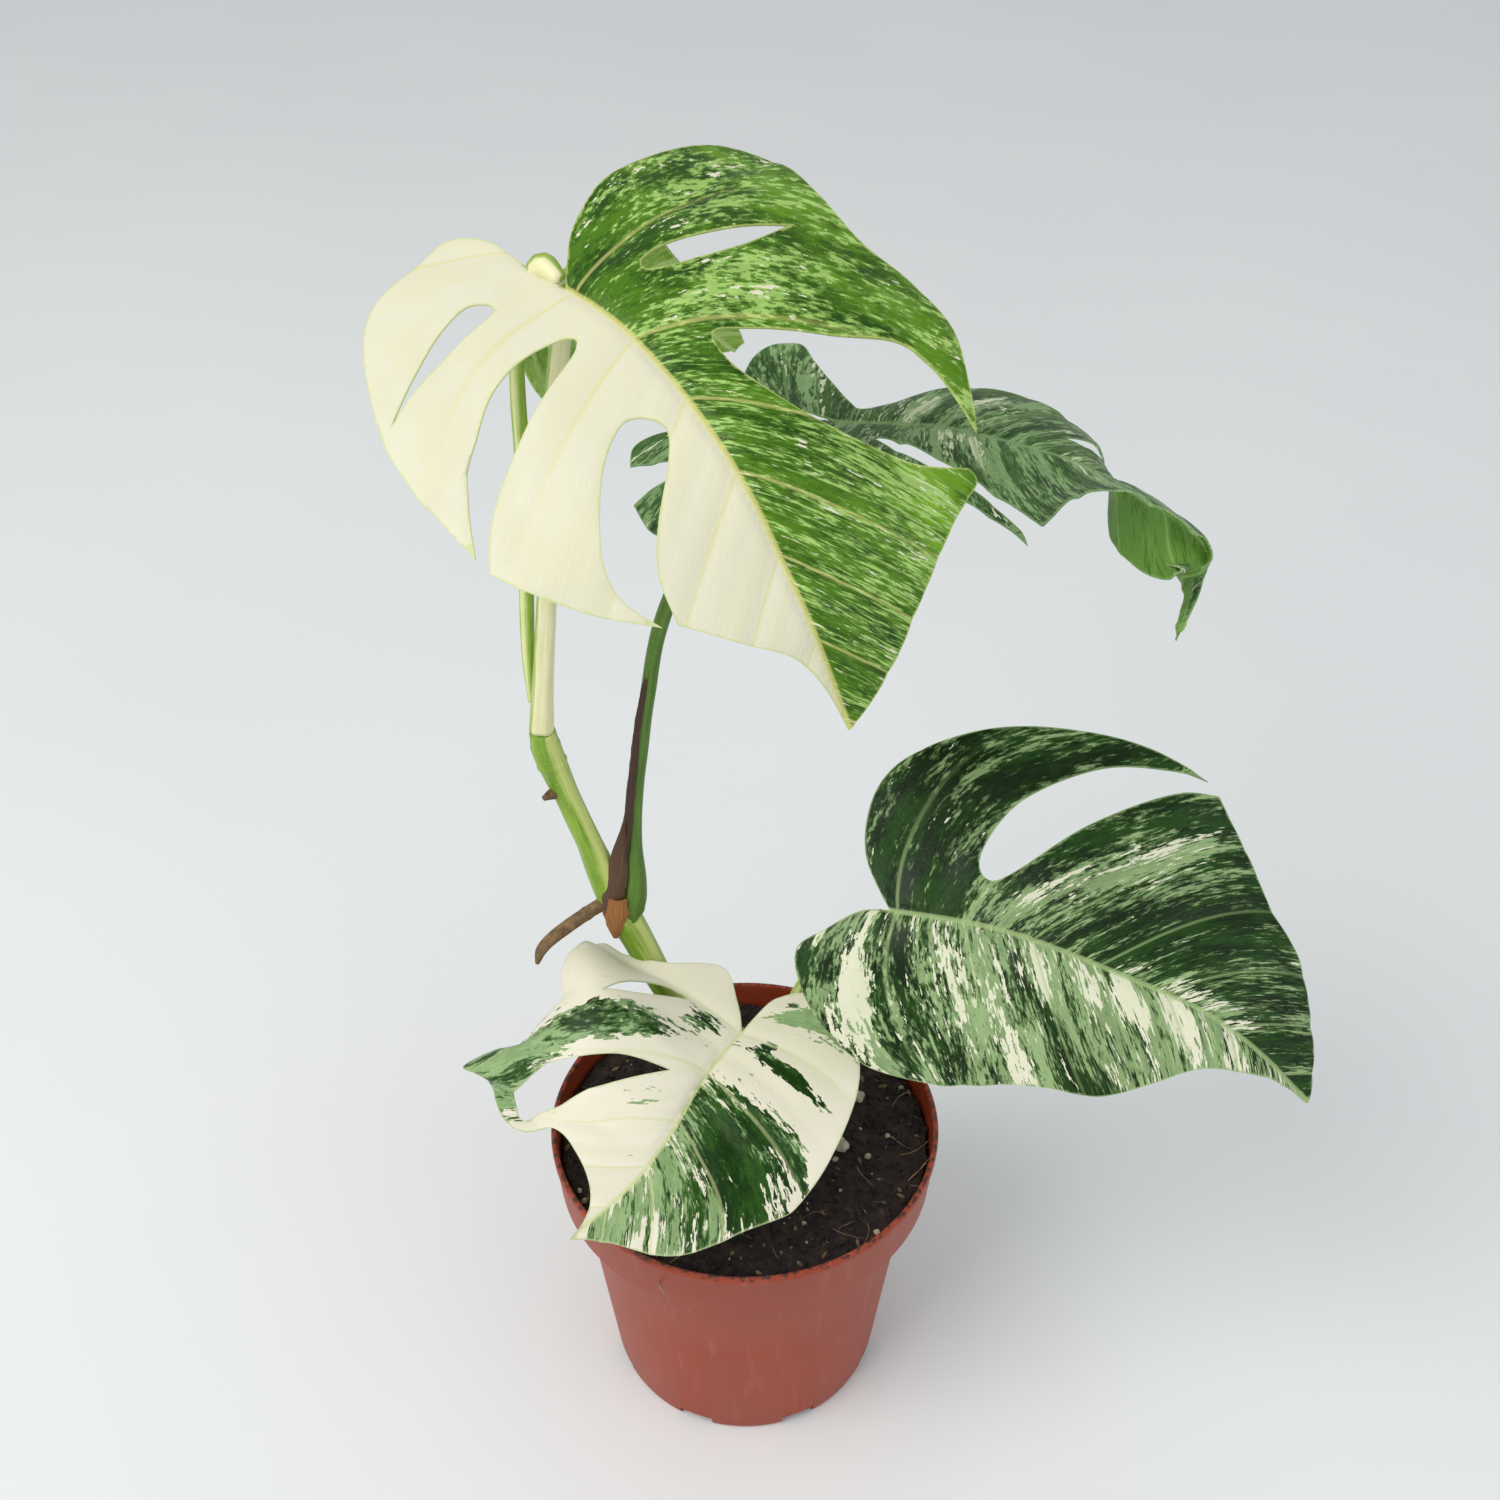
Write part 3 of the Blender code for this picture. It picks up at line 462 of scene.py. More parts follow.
def smooth_line(points, spacing, closed=False):
    """A smooth curve through the given points. A point given twice makes a corner."""
    given = np.array(points, dtype=float)
    if closed:
        ring = np.vstack([given[-1:], given, given[:2]])
    else:
        ring = np.vstack([2 * given[0] - given[1], given, 2 * given[-1] - given[-2]])
    found = []
    for p0, p1, p2, p3 in zip(ring, ring[1:], ring[2:], ring[3:]):
        length = np.linalg.norm(p2 - p1)
        if length < 1e-6:
            continue
        count = max(1, round(length / spacing))
        t = (np.arange(count) / count)[:, None]
        straight = 2 * p1 + (p2 - p0) * t
        curved = (2 * p0 - 5 * p1 + 4 * p2 - p3) * t**2
        found.append(0.5 * (straight + curved + (3 * p1 - p0 - 3 * p2 + p3) * t**3))
    if not closed:
        found.append(given[-1:])
    return np.vstack(found)


def walked_along(curve):
    """The distance from the start of a curve to each of its points."""
    return np.concatenate([[0.0], np.cumsum(np.linalg.norm(np.diff(curve, axis=0), axis=1))])


def stalk(name, route, surface, rings=(), groove=0.0, wobble=0.12, sides=28, spacing=1.3):
    """A living stalk along a route of (x, y, z, radius). Each ring is a scar round it, as its share of
    the length, height and width. The groove is the depth of the channel that faces up along a petiole."""
    path = smooth_line(route, spacing)
    centres, thick = path[:, :3], path[:, 3]
    walked = walked_along(centres)
    along = unit(np.gradient(centres, axis=0))
    front = np.array([0.0, -1.0, 0.3])
    front = unit(front - (along @ front)[:, None] * along)
    side = np.cross(along, front)
    for share, rise, width in rings:
        away = (walked - share * walked[-1]) / width
        thick = thick + rise * np.exp(-away * away)
    points, marks = [], []
    for i, centre in enumerate(centres):
        for turn in range(sides):
            angle = 2 * pi * turn / sides
            radius = thick[i] - groove * np.exp(-((angle - pi / 2) ** 2) / 0.12)
            spot = Vector((cos(angle) * 1.3, sin(angle) * 1.3, walked[i] * 0.07 + thick[0]))
            radius += wobble * noise.noise(spot)
            points.append(centre + radius * (cos(angle) * side[i] + sin(angle) * front[i]))
            marks.append((turn / sides, walked[i] / 100))
    rows = len(centres)
    points += [centres[0] - along[0] * 0.3, centres[-1] + along[-1] * 0.3]
    marks += [(0.5, 0.0), (0.5, walked[-1] / 100)]
    bottom, top = rows * sides, rows * sides + 1
    faces = quads(rows, sides)
    for turn in range(sides):
        after = (turn + 1) % sides
        faces += [(bottom, after, turn), (top, bottom - sides + turn, bottom - sides + after)]
    mesh = mesh_of(name, points, faces)
    layer = mesh.uv_layers.new(name="bark")
    for face in mesh.polygons:
        spots = [marks[i] for i in face.vertices]
        over_seam = max(spots)[0] - min(spots)[0] > 0.6
        for i, (turn, height) in zip(face.loop_indices, spots):
            layer.data[i].uv = (turn + 1.0 if over_seam and turn < 0.3 else turn, height)
    mesh.shade_smooth()
    return link(name, mesh, surface)


def living_skin(name, deep, pale, stripe, at, width, soft, dots, roughness=0.38):
    """Waxy stem skin: green flesh clouded along the stem, and a stripe of another colour centred at one
    share of the way round (0 on the left, 0.25 in front, 0.5 on the right)."""
    made, tree, place = finish(name)
    uv = add(tree, "ShaderNodeUVMap", {}, uv_map="bark")
    streak = speckle(tree, stretch(tree, uv, (9.0, 2.2, 1.0)), 1.6, 5.0, 0.6)
    cloud = speckle(tree, place, 55.0, 3.0)
    both = calc(tree, "MULTIPLY_ADD", cloud, 0.4, calc(tree, "MULTIPLY", streak, 0.7))
    flesh = blend(tree, ramp(tree, both, 0.38, 0.72), deep, pale)
    around = calc(tree, "SUBTRACT", add(tree, "ShaderNodeSeparateXYZ", {"Vector": uv}, "X"), at)
    far = calc(tree, "ABSOLUTE", calc(tree, "WRAP", around, 0.5, -0.5))
    shaken = calc(tree, "MULTIPLY_ADD", streak, -0.22, far)
    edge = width - 0.11
    striped = blend(tree, ramp(tree, shaken, edge + soft, edge - soft), flesh, stripe)
    pores = add(tree, "ShaderNodeTexVoronoi", {"Vector": place, "Scale": 520.0}, "Distance")
    dotted = blend(tree, calc(tree, "MULTIPLY", ramp(tree, pores, 0.2, 0.1), 0.35), striped, dots)
    coat(tree, dotted, roughness, (streak, 0.35, 0.0006), 1.42)
    return made


STEM_ROUTE = [
    (-4, 38, 98, 4.8), (-14, 38, 128, 4.9), (-30, 38, 157, 5.4), (-41, 38, 185, 6.0),
    (-49.3, 38, 207, 6.5), (-57, 38, 233, 4.8), (-64, 38, 256, 4.6), (-69.5, 38, 275, 5.4),
    (-71, 38, 285, 4.7),
]
STEM_RINGS = [(0.55, 0.5, 0.8), (0.585, 0.35, 0.7), (0.93, 0.5, 0.8), (0.97, 0.3, 0.6)]
# Fleshy stem: yellow green with darker green drawn along it, waxy, with fine pale pores.
stem_skin = living_skin("fleshy_green_stem", "#5C8618", "#93B23C", "#C6D078", 0.12, 0.08, 0.04, "#C9D18A")
settle(
    stalk("main_stem_flesh", STEM_ROUTE, stem_skin, STEM_RINGS, 0.0, 0.25, 36, 1.0),
    "stem_green", "main_stem",
)


# ======== petioles
# One leaf stalk for each leaf, smooth and waxy, with a shallow channel on its upper side. The top
# leaf's is cream with a green edge, and below it clasps the stalk of the leaf behind.

# Cream flesh with a thin green edge on its right, and faint yellow-green clouds.
cream_skin = living_skin(
    "cream_petiole", "#D9D69A", "#F0ECC6", "#8FAE3F", 0.47, 0.09, 0.03, "#F6F3D6", 0.34
)
TOP_PETIOLE_ROUTE = [
    (-71.1, 37.6, 286.4, 4.4), (-69.5, 37, 303, 3.9), (-67.1, 36, 325, 3.5), (-63.5, 33, 358, 3.3),
    (-60.4, 29, 390, 3.3), (-56.3, 23, 420, 3.2), (-53.2, 19, 440, 3.1), (-50.5, 16.5, 454.5, 2.7),
]
settle(
    stalk("top_petiole_flesh", TOP_PETIOLE_ROUTE, cream_skin, [], 0.5),
    "petiole_cream", "petiole_top",
)

# The pale knee at its end, where the petiole turns over into the blade.
KNEE_ROUTE = [
    (-53.8, 20, 437, 2.8), (-56, 23, 449, 3.5), (-58.5, 24.5, 457.5, 4.3), (-56.5, 22, 462, 4.0),
    (-51.5, 16.8, 460, 2.2),
]
settle(stalk("top_petiole_knee", KNEE_ROUTE, cream_skin), "petiole_cream")

# Yellow-green flesh with a cream line down its front.
hidden_skin = living_skin("green_petiole", "#7DA22C", "#A6C356", "#DDE0A0", 0.32, 0.06, 0.03, "#C9D48A")
HIDDEN_PETIOLE_ROUTE = [
    (-74, 41, 296, 1.5), (-73.6, 40.5, 322, 2.4), (-71.4, 41, 361, 2.5), (-70.3, 41, 390, 2.5),
    (-70, 41.5, 410, 2.5), (-69.5, 43, 427, 2.3),
]
settle(
    stalk("hidden_petiole_flesh", HIDDEN_PETIOLE_ROUTE, hidden_skin, [], 0.2),
    "stem_green", "petiole_hidden",
)

# Darker green flesh, olive towards its back.
dark_skin = living_skin("dark_green_petiole", "#3F6218", "#5F8230", "#7C9A3C", 0.7, 0.14, 0.05, "#8FA05A")
RIGHT_PETIOLE_ROUTE = [
    (-44, 36, 198, 3.4), (-41.4, 35.3, 207, 4.2), (-40.3, 36.5, 217, 3.7), (-40.6, 39.3, 233, 2.9),
    (-39.6, 41, 252, 2.7), (-37, 42, 274, 2.7), (-34, 44, 295, 2.7), (-28.5, 47, 324, 2.7),
    (-15, 54, 354, 2.6), (6, 63, 374, 2.6), (26.5, 73, 381.5, 2.8),
]
settle(
    stalk("right_petiole_flesh", RIGHT_PETIOLE_ROUTE, dark_skin, [(0.03, 0.4, 1.2)], 0.3),
    "petiole_green", "petiole_right",
)

LOW_RIGHT_PETIOLE_ROUTE = [
    (9, 33, 98, 2.8), (13, 33, 130, 2.8), (21, 30, 165, 2.7), (33, 18, 200, 2.6), (43, 7.5, 222, 2.5),
    (48.5, 2.5, 230, 2.5),
]
settle(
    stalk("low_right_petiole_flesh", LOW_RIGHT_PETIOLE_ROUTE, hidden_skin, [], 0.25),
    "stem_green", "petiole_low_right",
)

LOW_FRONT_PETIOLE_ROUTE = [
    (-7, 24, 98, 2.5), (-6, 22, 130, 2.5), (-4, 16, 154, 2.3), (-1.5, 9.5, 163.5, 2.2),
]
settle(
    stalk("low_front_petiole_flesh", LOW_FRONT_PETIOLE_ROUTE, cream_skin, [], 0.2),
    "stem_green", "petiole_low_front",
)


# ======== aerial root and root tip
# A stiff brown aerial root that leaves the lower node to the left and hooks down at its blunt tip,
# and a short resting root tip at the upper node. Both have a dull corky skin.

# Corky root skin: grey brown, cracked across, with paler scurf.
cork, tree, place = finish("corky_root_skin")
scurf = tones(tree, speckle(tree, place, 260.0, 5.0, 0.7), (0.3, "#3E2C1A"), (0.7, "#8C7048"))
feeds = {"Vector": place, "Scale": 420.0}
crack = add(tree, "ShaderNodeTexVoronoi", feeds, "Distance", feature="DISTANCE_TO_EDGE")
coat(tree, scurf, 0.72, (crack, 0.6, 0.0006))

ROOT_ROUTE = [
    (-49, 37, 207, 2.7), (-55, 34, 206, 2.7), (-64, 30, 201.5, 2.5), (-72, 26, 197, 2.4),
    (-76.5, 24, 192.5, 2.2), (-78.5, 23.5, 187, 1.1),
]
settle(
    stalk("aerial_root_cork", ROOT_ROUTE, cork, [(0.3, 0.25, 1.0)], 0.0, 0.5, 24, 0.9),
    "aerial_root", "aerial_root",
)

NUB_ROUTE = [(-66, 38, 258, 2.4), (-68.5, 35, 259.5, 2.2), (-71.5, 31.5, 260, 1.0)]
settle(stalk("root_tip_cork", NUB_ROUTE, cork, [], 0.0, 0.3, 20, 0.6), "husk", "root_nub")


# ======== dry sheath and husk
# Papery remains of old leaf sheaths: a long dark strip that peels along the right petiole, and an
# orange-brown husk wrapped over the lower node. Both are thin, ribbed lengthwise and torn at the edge.


def dry_paper(name, dark, light):
    """Dry sheath tissue, ribbed along its length and blotched."""
    made, tree, _ = finish(name)
    uv = add(tree, "ShaderNodeUVMap", {}, uv_map="bark")
    rib = speckle(tree, stretch(tree, uv, (14.0, 3.0, 1.0)), 2.0, 5.0)
    coat(tree, blend(tree, ramp(tree, rib, 0.3, 0.7), dark, light), 0.66, (rib, 0.8, 0.0008))
    return made


def strip(name, route, outward, hollow, surface, thickness=0.5):
    """A thin dry strip along a route of (x, y, z, width), hollow towards the stem it lies against."""
    path = smooth_line(route, 1.5)
    centres, wide = path[:, :3], path[:, 3]
    along = unit(np.gradient(centres, axis=0))
    outward = unit(np.array(outward, dtype=float))
    across = unit(np.cross(along, outward))
    shares = np.linspace(-1.0, 1.0, 13)
    points, marks = [], []
    for i, centre in enumerate(centres):
        for share in shares:
            torn = 1.0 + 0.16 * noise.noise(Vector((i * 0.45, share * 1.5, 5.0))) * abs(share)
            crease = 0.35 * noise.noise(Vector((share * 3.0, i * 0.12, 1.0)))
            reach = wide[i] * share * torn / 2
            lift = crease - wide[i] * hollow * share**2
            points.append(centre + across[i] * reach + outward * lift)
            marks.append((share, i * 0.015))
    mesh = mesh_of(name, points, quads(len(centres), len(shares), closed=False))
    layer = mesh.uv_layers.new(name="bark")
    for loop in mesh.loops:
        layer.data[loop.index].uv = marks[loop.vertex_index]
    obj = link(name, mesh, surface)
    thicken = obj.modifiers.new("thickness", "SOLIDIFY")
    thicken.thickness = thickness * MM
    thicken.offset = 0.0
    return plain(obj, 50.0)


# Old sheath: dark chocolate, nearly black in its creases.
old_sheath = dry_paper("dry_leaf_sheath", "#2B1A14", "#5E4030")
SHEATH_ROUTE = [
    (-46.3, 36.7, 227, 5.8), (-43.9, 37.6, 238, 4.8), (-42.0, 38.8, 252, 4.0),
    (-39.4, 39.8, 274, 3.4), (-36.2, 41.8, 295, 2.6), (-31.4, 44.8, 316, 1.0),
]
settle(
    strip("dry_sheath_strip", SHEATH_ROUTE, (-0.7, -0.7, 0.1), 0.16, old_sheath),
    "dry_sheath", "dry_sheath",
)

# Its wide base closes the fork between stem and petiole and ends under the husk. It is a lighter brown.
brown_base = dry_paper("brown_sheath_base", "#35211A", "#7E5C40")
BASE_ROUTE = [
    (-49.2, 30.9, 204, 7.0), (-48.8, 31.3, 212, 8.0), (-47.4, 33.0, 221, 7.6),
    (-46.0, 35.2, 231, 5.4), (-44.0, 36.8, 244, 1.0),
]
settle(strip("sheath_base", BASE_ROUTE, (0.1, -1.0, 0.1), 0.16, brown_base), "dry_sheath")

# Husk: orange brown, drier and paler at its torn edge.
orange_husk = dry_paper("dry_node_husk", "#5E3218", "#D08E48")
HUSK_ROUTE = [
    (-48.2, 30.4, 212, 8.0), (-48.8, 29.9, 206, 9.5), (-49, 30.2, 200, 7.5), (-49, 31.4, 192, 1.5),
]
settle(strip("node_husk", HUSK_ROUTE, (-0.1, -1.0, 0.1), 0.24, orange_husk), "husk", "stem_husk")


# ======== top leaf
# The largest blade: one half cream, the other half green with pale flecks, parted at the midrib. It is
# leathery and waxy, with four deep slits and two long holes between its lateral veins.
#
# A leaf is drawn flat, as (across, along) from the petiole's end, negative to the left of the midrib,
# and then bent along its midrib. A lateral vein leaves the midrib and leans forward as it runs out.
# Each half's rows are (share of the midrib, rise, bend per 100 mm), and where it curls also (distance
# out, curl per 100 mm), in degrees. A splash is its place across and along the veins, its size in both,
# and what it adds to the tint.

FINE = 1.7  # between points inside a blade
MARGIN = 1.5  # between points along its margin


def between(at, stations, values):
    """Values given at a few stations, read off at any place between them."""
    columns = np.array(values, dtype=float).reshape(len(stations), -1)
    return np.stack([np.interp(at, stations, column) for column in columns.T], axis=-1)


def inside(points, loops):
    """True for each flat point inside the first closed loop and outside the others."""
    x, y = points[:, 0], points[:, 1]
    within = np.zeros(len(points), dtype=bool)
    for loop in loops:
        for (ax, ay), (bx, by) in zip(loop, np.roll(loop, -1, axis=0)):
            if ay != by:
                crosses = (ay > y) != (by > y)
                within ^= crosses & (x < (bx - ax) * (y - ay) / (by - ay) + ax)
    return within


def flat_sheet(leaf):
    """The flat blade: (across, along) points, and triangles between them."""
    loops = [smooth_line(loop, MARGIN, closed=True) for loop in [leaf["outline"]] + leaf["holes"]]
    margin = np.vstack(loops)
    rows = np.arange(margin[:, 1].min(), margin[:, 1].max(), FINE * 0.866)
    columns = np.arange(margin[:, 0].min(), margin[:, 0].max(), FINE)
    grid = np.array([(x + (i % 2) * FINE / 2, y) for i, y in enumerate(rows) for x in columns])
    grid = grid[np.abs(grid[:, 0]) > 0.7 * FINE]
    midrib = [(0.0, y) for y in np.arange(FINE, leaf["length"] - 2.0, FINE)]
    inner = np.vstack([midrib, grid])
    inner = inner[inside(inner, loops)]
    apart = np.full(len(inner), 1e9)
    for spot in margin:
        apart = np.minimum(apart, np.hypot(*(inner - spot).T))
    inner = inner[apart > 0.6 * FINE]
    edges, start = [], 0
    for loop in loops:
        edges += [(start + i, start + (i + 1) % len(loop)) for i in range(len(loop))]
        start += len(loop)
    points = [Vector(p) for p in np.vstack([margin, inner])]
    flat, _, faces, *_ = delaunay_2d_cdt(points, edges, [], 1, 1e-6)
    flat, faces = np.array([tuple(p) for p in flat]), np.array(faces)
    return flat, faces[inside(flat[faces].mean(axis=1), loops)]


def side_profile(side, share, reach):
    """How far out and how far up a flat distance from the midrib ends, once the half is bent."""
    at, rise, bend, *rolled = (np.array(column) for column in zip(*side))
    walked = reach[:, None] * (np.arange(40) + 0.5) / 40
    angle = np.radians(between(share, at, rise)) + np.radians(between(share, at, bend)) / 100 * walked
    if rolled:
        edge, curl = rolled
        beyond = np.maximum(0.0, walked - between(share, at, edge))
        angle = angle + np.radians(between(share, at, curl)) / 100 * beyond
    return reach * np.cos(angle).mean(axis=1), reach * np.sin(angle).mean(axis=1)


def posed(leaf, flat):
    """Flat points of a leaf bent into its posture."""
    curve = smooth_line(leaf["midrib"], 0.5)
    walked = walked_along(curve)
    across, along = flat[:, 0], flat[:, 1]
    tangent = unit(between(along, walked, unit(np.gradient(curve, walked, axis=0))))
    base = between(along, walked, curve) + tangent * np.minimum(along, 0.0)[:, None]
    share = np.clip(along / walked[-1], -0.4, 1.0)
    facing = between(share, np.linspace(0.0, 1.0, len(leaf["facing"])), leaf["facing"])
    facing = unit(facing - (facing * tangent).sum(axis=1, keepdims=True) * tangent)
    right = np.cross(tangent, facing)
    result = base.copy()
    for sign, side in ((-1, leaf["left"]), (1, leaf["right"])):
        out, up = side_profile(side, share, np.abs(across))
        bent = base + right * (sign * out)[:, None] + facing * up[:, None]
        result = np.where((across * sign >= 0)[:, None], bent, result)
    for place, size, push in leaf.get("pushes", []):
        away = ((flat - np.array(place)) / np.array(size)) ** 2
        result = result + np.exp(-away.sum(axis=1))[:, None] * np.array(push)
    return result


def vein_start(leaf, flat):
    """Where along the midrib the lateral vein through each flat point begins."""
    across, along = np.abs(flat[:, 0]), flat[:, 1]
    low, high = np.full(len(flat), -200.0), np.full(len(flat), 300.0)
    for _ in range(26):
        middle = (low + high) / 2
        curve = np.interp(middle, *zip(*leaf["sweep"]))
        reached = middle + np.interp(middle, *zip(*leaf["lean"])) * across + curve * across**2
        high = np.where(reached > along, middle, high)
        low = np.where(reached > along, low, middle)
    return (low + high) / 2


def relief(leaf, flat, start):
    """The height of the upper face, and of the underside's ribs, over the smooth blade."""
    reach, along = np.abs(flat[:, 0]), flat[:, 1]
    share = np.clip(along / leaf["length"], 0.0, 1.0)
    first, spacing = leaf["veins"]
    steps = (start - first) / spacing
    lean = np.interp(start, *zip(*leaf["lean"]))
    off = np.abs(steps - np.round(steps)) * spacing / np.sqrt(1 + lean**2)
    fade = np.exp(-((reach / 85.0) ** 2)) * np.clip(reach / 3.0, 0.0, 1.0)
    lateral = np.exp(-((off / (1.6 - 0.7 * np.clip(reach / 80, 0, 1))) ** 2)) * fade
    rib = np.exp(-((reach / (2.3 - 1.3 * share)) ** 2)) * np.clip((along + 3.0) / 4.0, 0.0, 1.0)
    pillow = np.sin(pi * np.clip(off / spacing * 2, 0, 1)) * fade
    wave = [noise.noise(Vector((a * 0.045, b * 0.045, leaf["length"]))) for a, b in flat]
    smooth = 0.6 * pillow + 1.1 * np.array(wave)
    return smooth - 0.22 * lateral - 0.6 * rib, smooth - 0.8 * lateral - 2.0 * rib * (1.0 - 0.5 * share)


def painted(leaf, across, start, half):
    """Bias towards cream, mint and the third tone. The half is -1 left of the midrib and 1 right of it."""
    right = (half > 0)[:, None]
    levels = np.where(right, np.array(leaf["right_tint"]), np.array(leaf["left_tint"]))
    for c, v, wide, long, *tint in leaf["splashes"]:
        weight = np.exp(-(((across - c) / wide) ** 2) - ((start - v) / long) ** 2)
        levels = levels + (weight * (half * c > 0))[:, None] * np.array((tint + [0.0])[:3])
    return levels


def leaf_skin(name, leaf, colours, roughness, fleck=1.0, ragged=1.0, patchy=1.0):
    """Waxy leaf tissue. The colour cells follow the lateral veins, so cream and mint break into flecks and
    streaks that run out from the midrib, with ragged ends. The last colour is that of its veins."""
    deep, middle, third, mint, cream, line = colours.split()
    made, tree, place = finish(name)
    uv = add(tree, "ShaderNodeUVMap", {}, uv_map="veins")
    tint = add(tree, "ShaderNodeAttribute", {}, "Color", attribute_name="tint")
    bias = add(tree, "ShaderNodeSeparateColor", {"Color": tint}).node.outputs
    spot = add(tree, "ShaderNodeSeparateXYZ", {"Vector": uv}).node.outputs
    reckon, over = partial(calc, tree), partial(blend, tree)
    ease = partial(ramp, tree, interpolation_type="SMOOTHSTEP")

    def cells(length, width, seed, detail=3.0, rough=0.6):
        """Noise cells of that length out from the midrib and that width across it, in millimetres."""
        feeds = {"Location": (seed, seed * 0.7, 0.0), "Scale": (100 / length, 100 / width, 1.0)}
        drawn = add(tree, "ShaderNodeMapping", {"Vector": uv} | feeds)
        return speckle(tree, drawn, 1.0, detail, rough, noise_dimensions="2D")

    def weighed(level, patch, streak, dots):
        """The bias with the noises added, each centred on nought."""
        total = reckon("MULTIPLY_ADD", patch, 1.7 * patchy, level)
        total = reckon("MULTIPLY_ADD", streak, 1.6 * ragged, total)
        total = reckon("MULTIPLY_ADD", dots, 1.3 * fleck, total)
        return reckon("SUBTRACT", total, 0.85 * patchy + 0.8 * ragged + 0.65 * fleck)

    streaks, flecks = cells(15.0, 2.4, 7.7, 4.0, 0.62), cells(4.2, 1.0, 1.9)
    streaks_mint, flecks_mint = cells(11.0, 2.0, 9.2, 4.0, 0.62), cells(3.4, 0.85, 4.4)
    clouds = cells(26.0, 9.0, 2.6, 5.0, 0.65)
    to_cream = weighed(bias["Red"], cells(44.0, 8.0, 3.1, 4.0), streaks, flecks)
    to_mint = weighed(bias["Green"], cells(38.0, 7.0, 5.3, 4.0), streaks_mint, flecks_mint)
    grain = reckon("MULTIPLY_ADD", flecks, 0.55, reckon("MULTIPLY", clouds, 0.9))
    green = over(ease(grain, 0.58, 0.88), deep, middle)
    green = over(reckon("MULTIPLY", bias["Blue"], ease(clouds, 0.3, 0.62)), green, third)
    # Halfway to mint, the tissue has a thin pale layer over the green.
    green = over(ease(to_mint, 0.22, 0.32, 0.0, 0.62), green, over(0.38, middle, mint))
    pale = over(ease(grain, 0.6, 0.86), over(0.28, mint, middle), mint)
    green = over(ease(to_mint, 0.47, 0.52), green, pale)
    ivory = over(ease(clouds, 0.35, 0.65, 0.0, 0.16), cream, line)
    mottled = over(ease(to_cream, 0.47, 0.52), green, ivory)
    first, spacing = leaf["veins"]
    reach = reckon("MULTIPLY", reckon("ABSOLUTE", spot["X"]), 100.0)
    steps = reckon("MULTIPLY_ADD", spot["Y"], 100.0 / spacing, -first / spacing)
    off = reckon("MULTIPLY", reckon("ABSOLUTE", reckon("WRAP", steps, 0.5, -0.5)), spacing)
    lateral = reckon("MULTIPLY", ease(off, 0.9, 0.2), ease(reach, 75.0, 0.0, 0.0, 0.5))
    rib = ease(reach, 1.3, 0.4, 0.0, 0.75)
    veined = over(reckon("MAXIMUM", lateral, rib), mottled, line)
    margin = ease(tint.node.outputs["Alpha"], 0.55, 0.9, 0.0, 0.6)
    rimmed = over(margin, veined, over(0.5, line, mint))
    # The net of small veins is about a millimetre across, and the grain runs out along the veins.
    feeds = {"Vector": place, "Scale": 620.0}
    net = add(tree, "ShaderNodeTexVoronoi", feeds, "Distance", feature="DISTANCE_TO_EDGE")
    height = reckon("MULTIPLY_ADD", streaks, 1.2, reckon("MULTIPLY_ADD", flecks, 0.5, net))
    worn = ease(clouds, 0.2, 0.8, roughness - 0.05, roughness + 0.1)
    coat(tree, rimmed, worn, (height, 0.25, 0.0004), 1.4, 0.3)
    return made


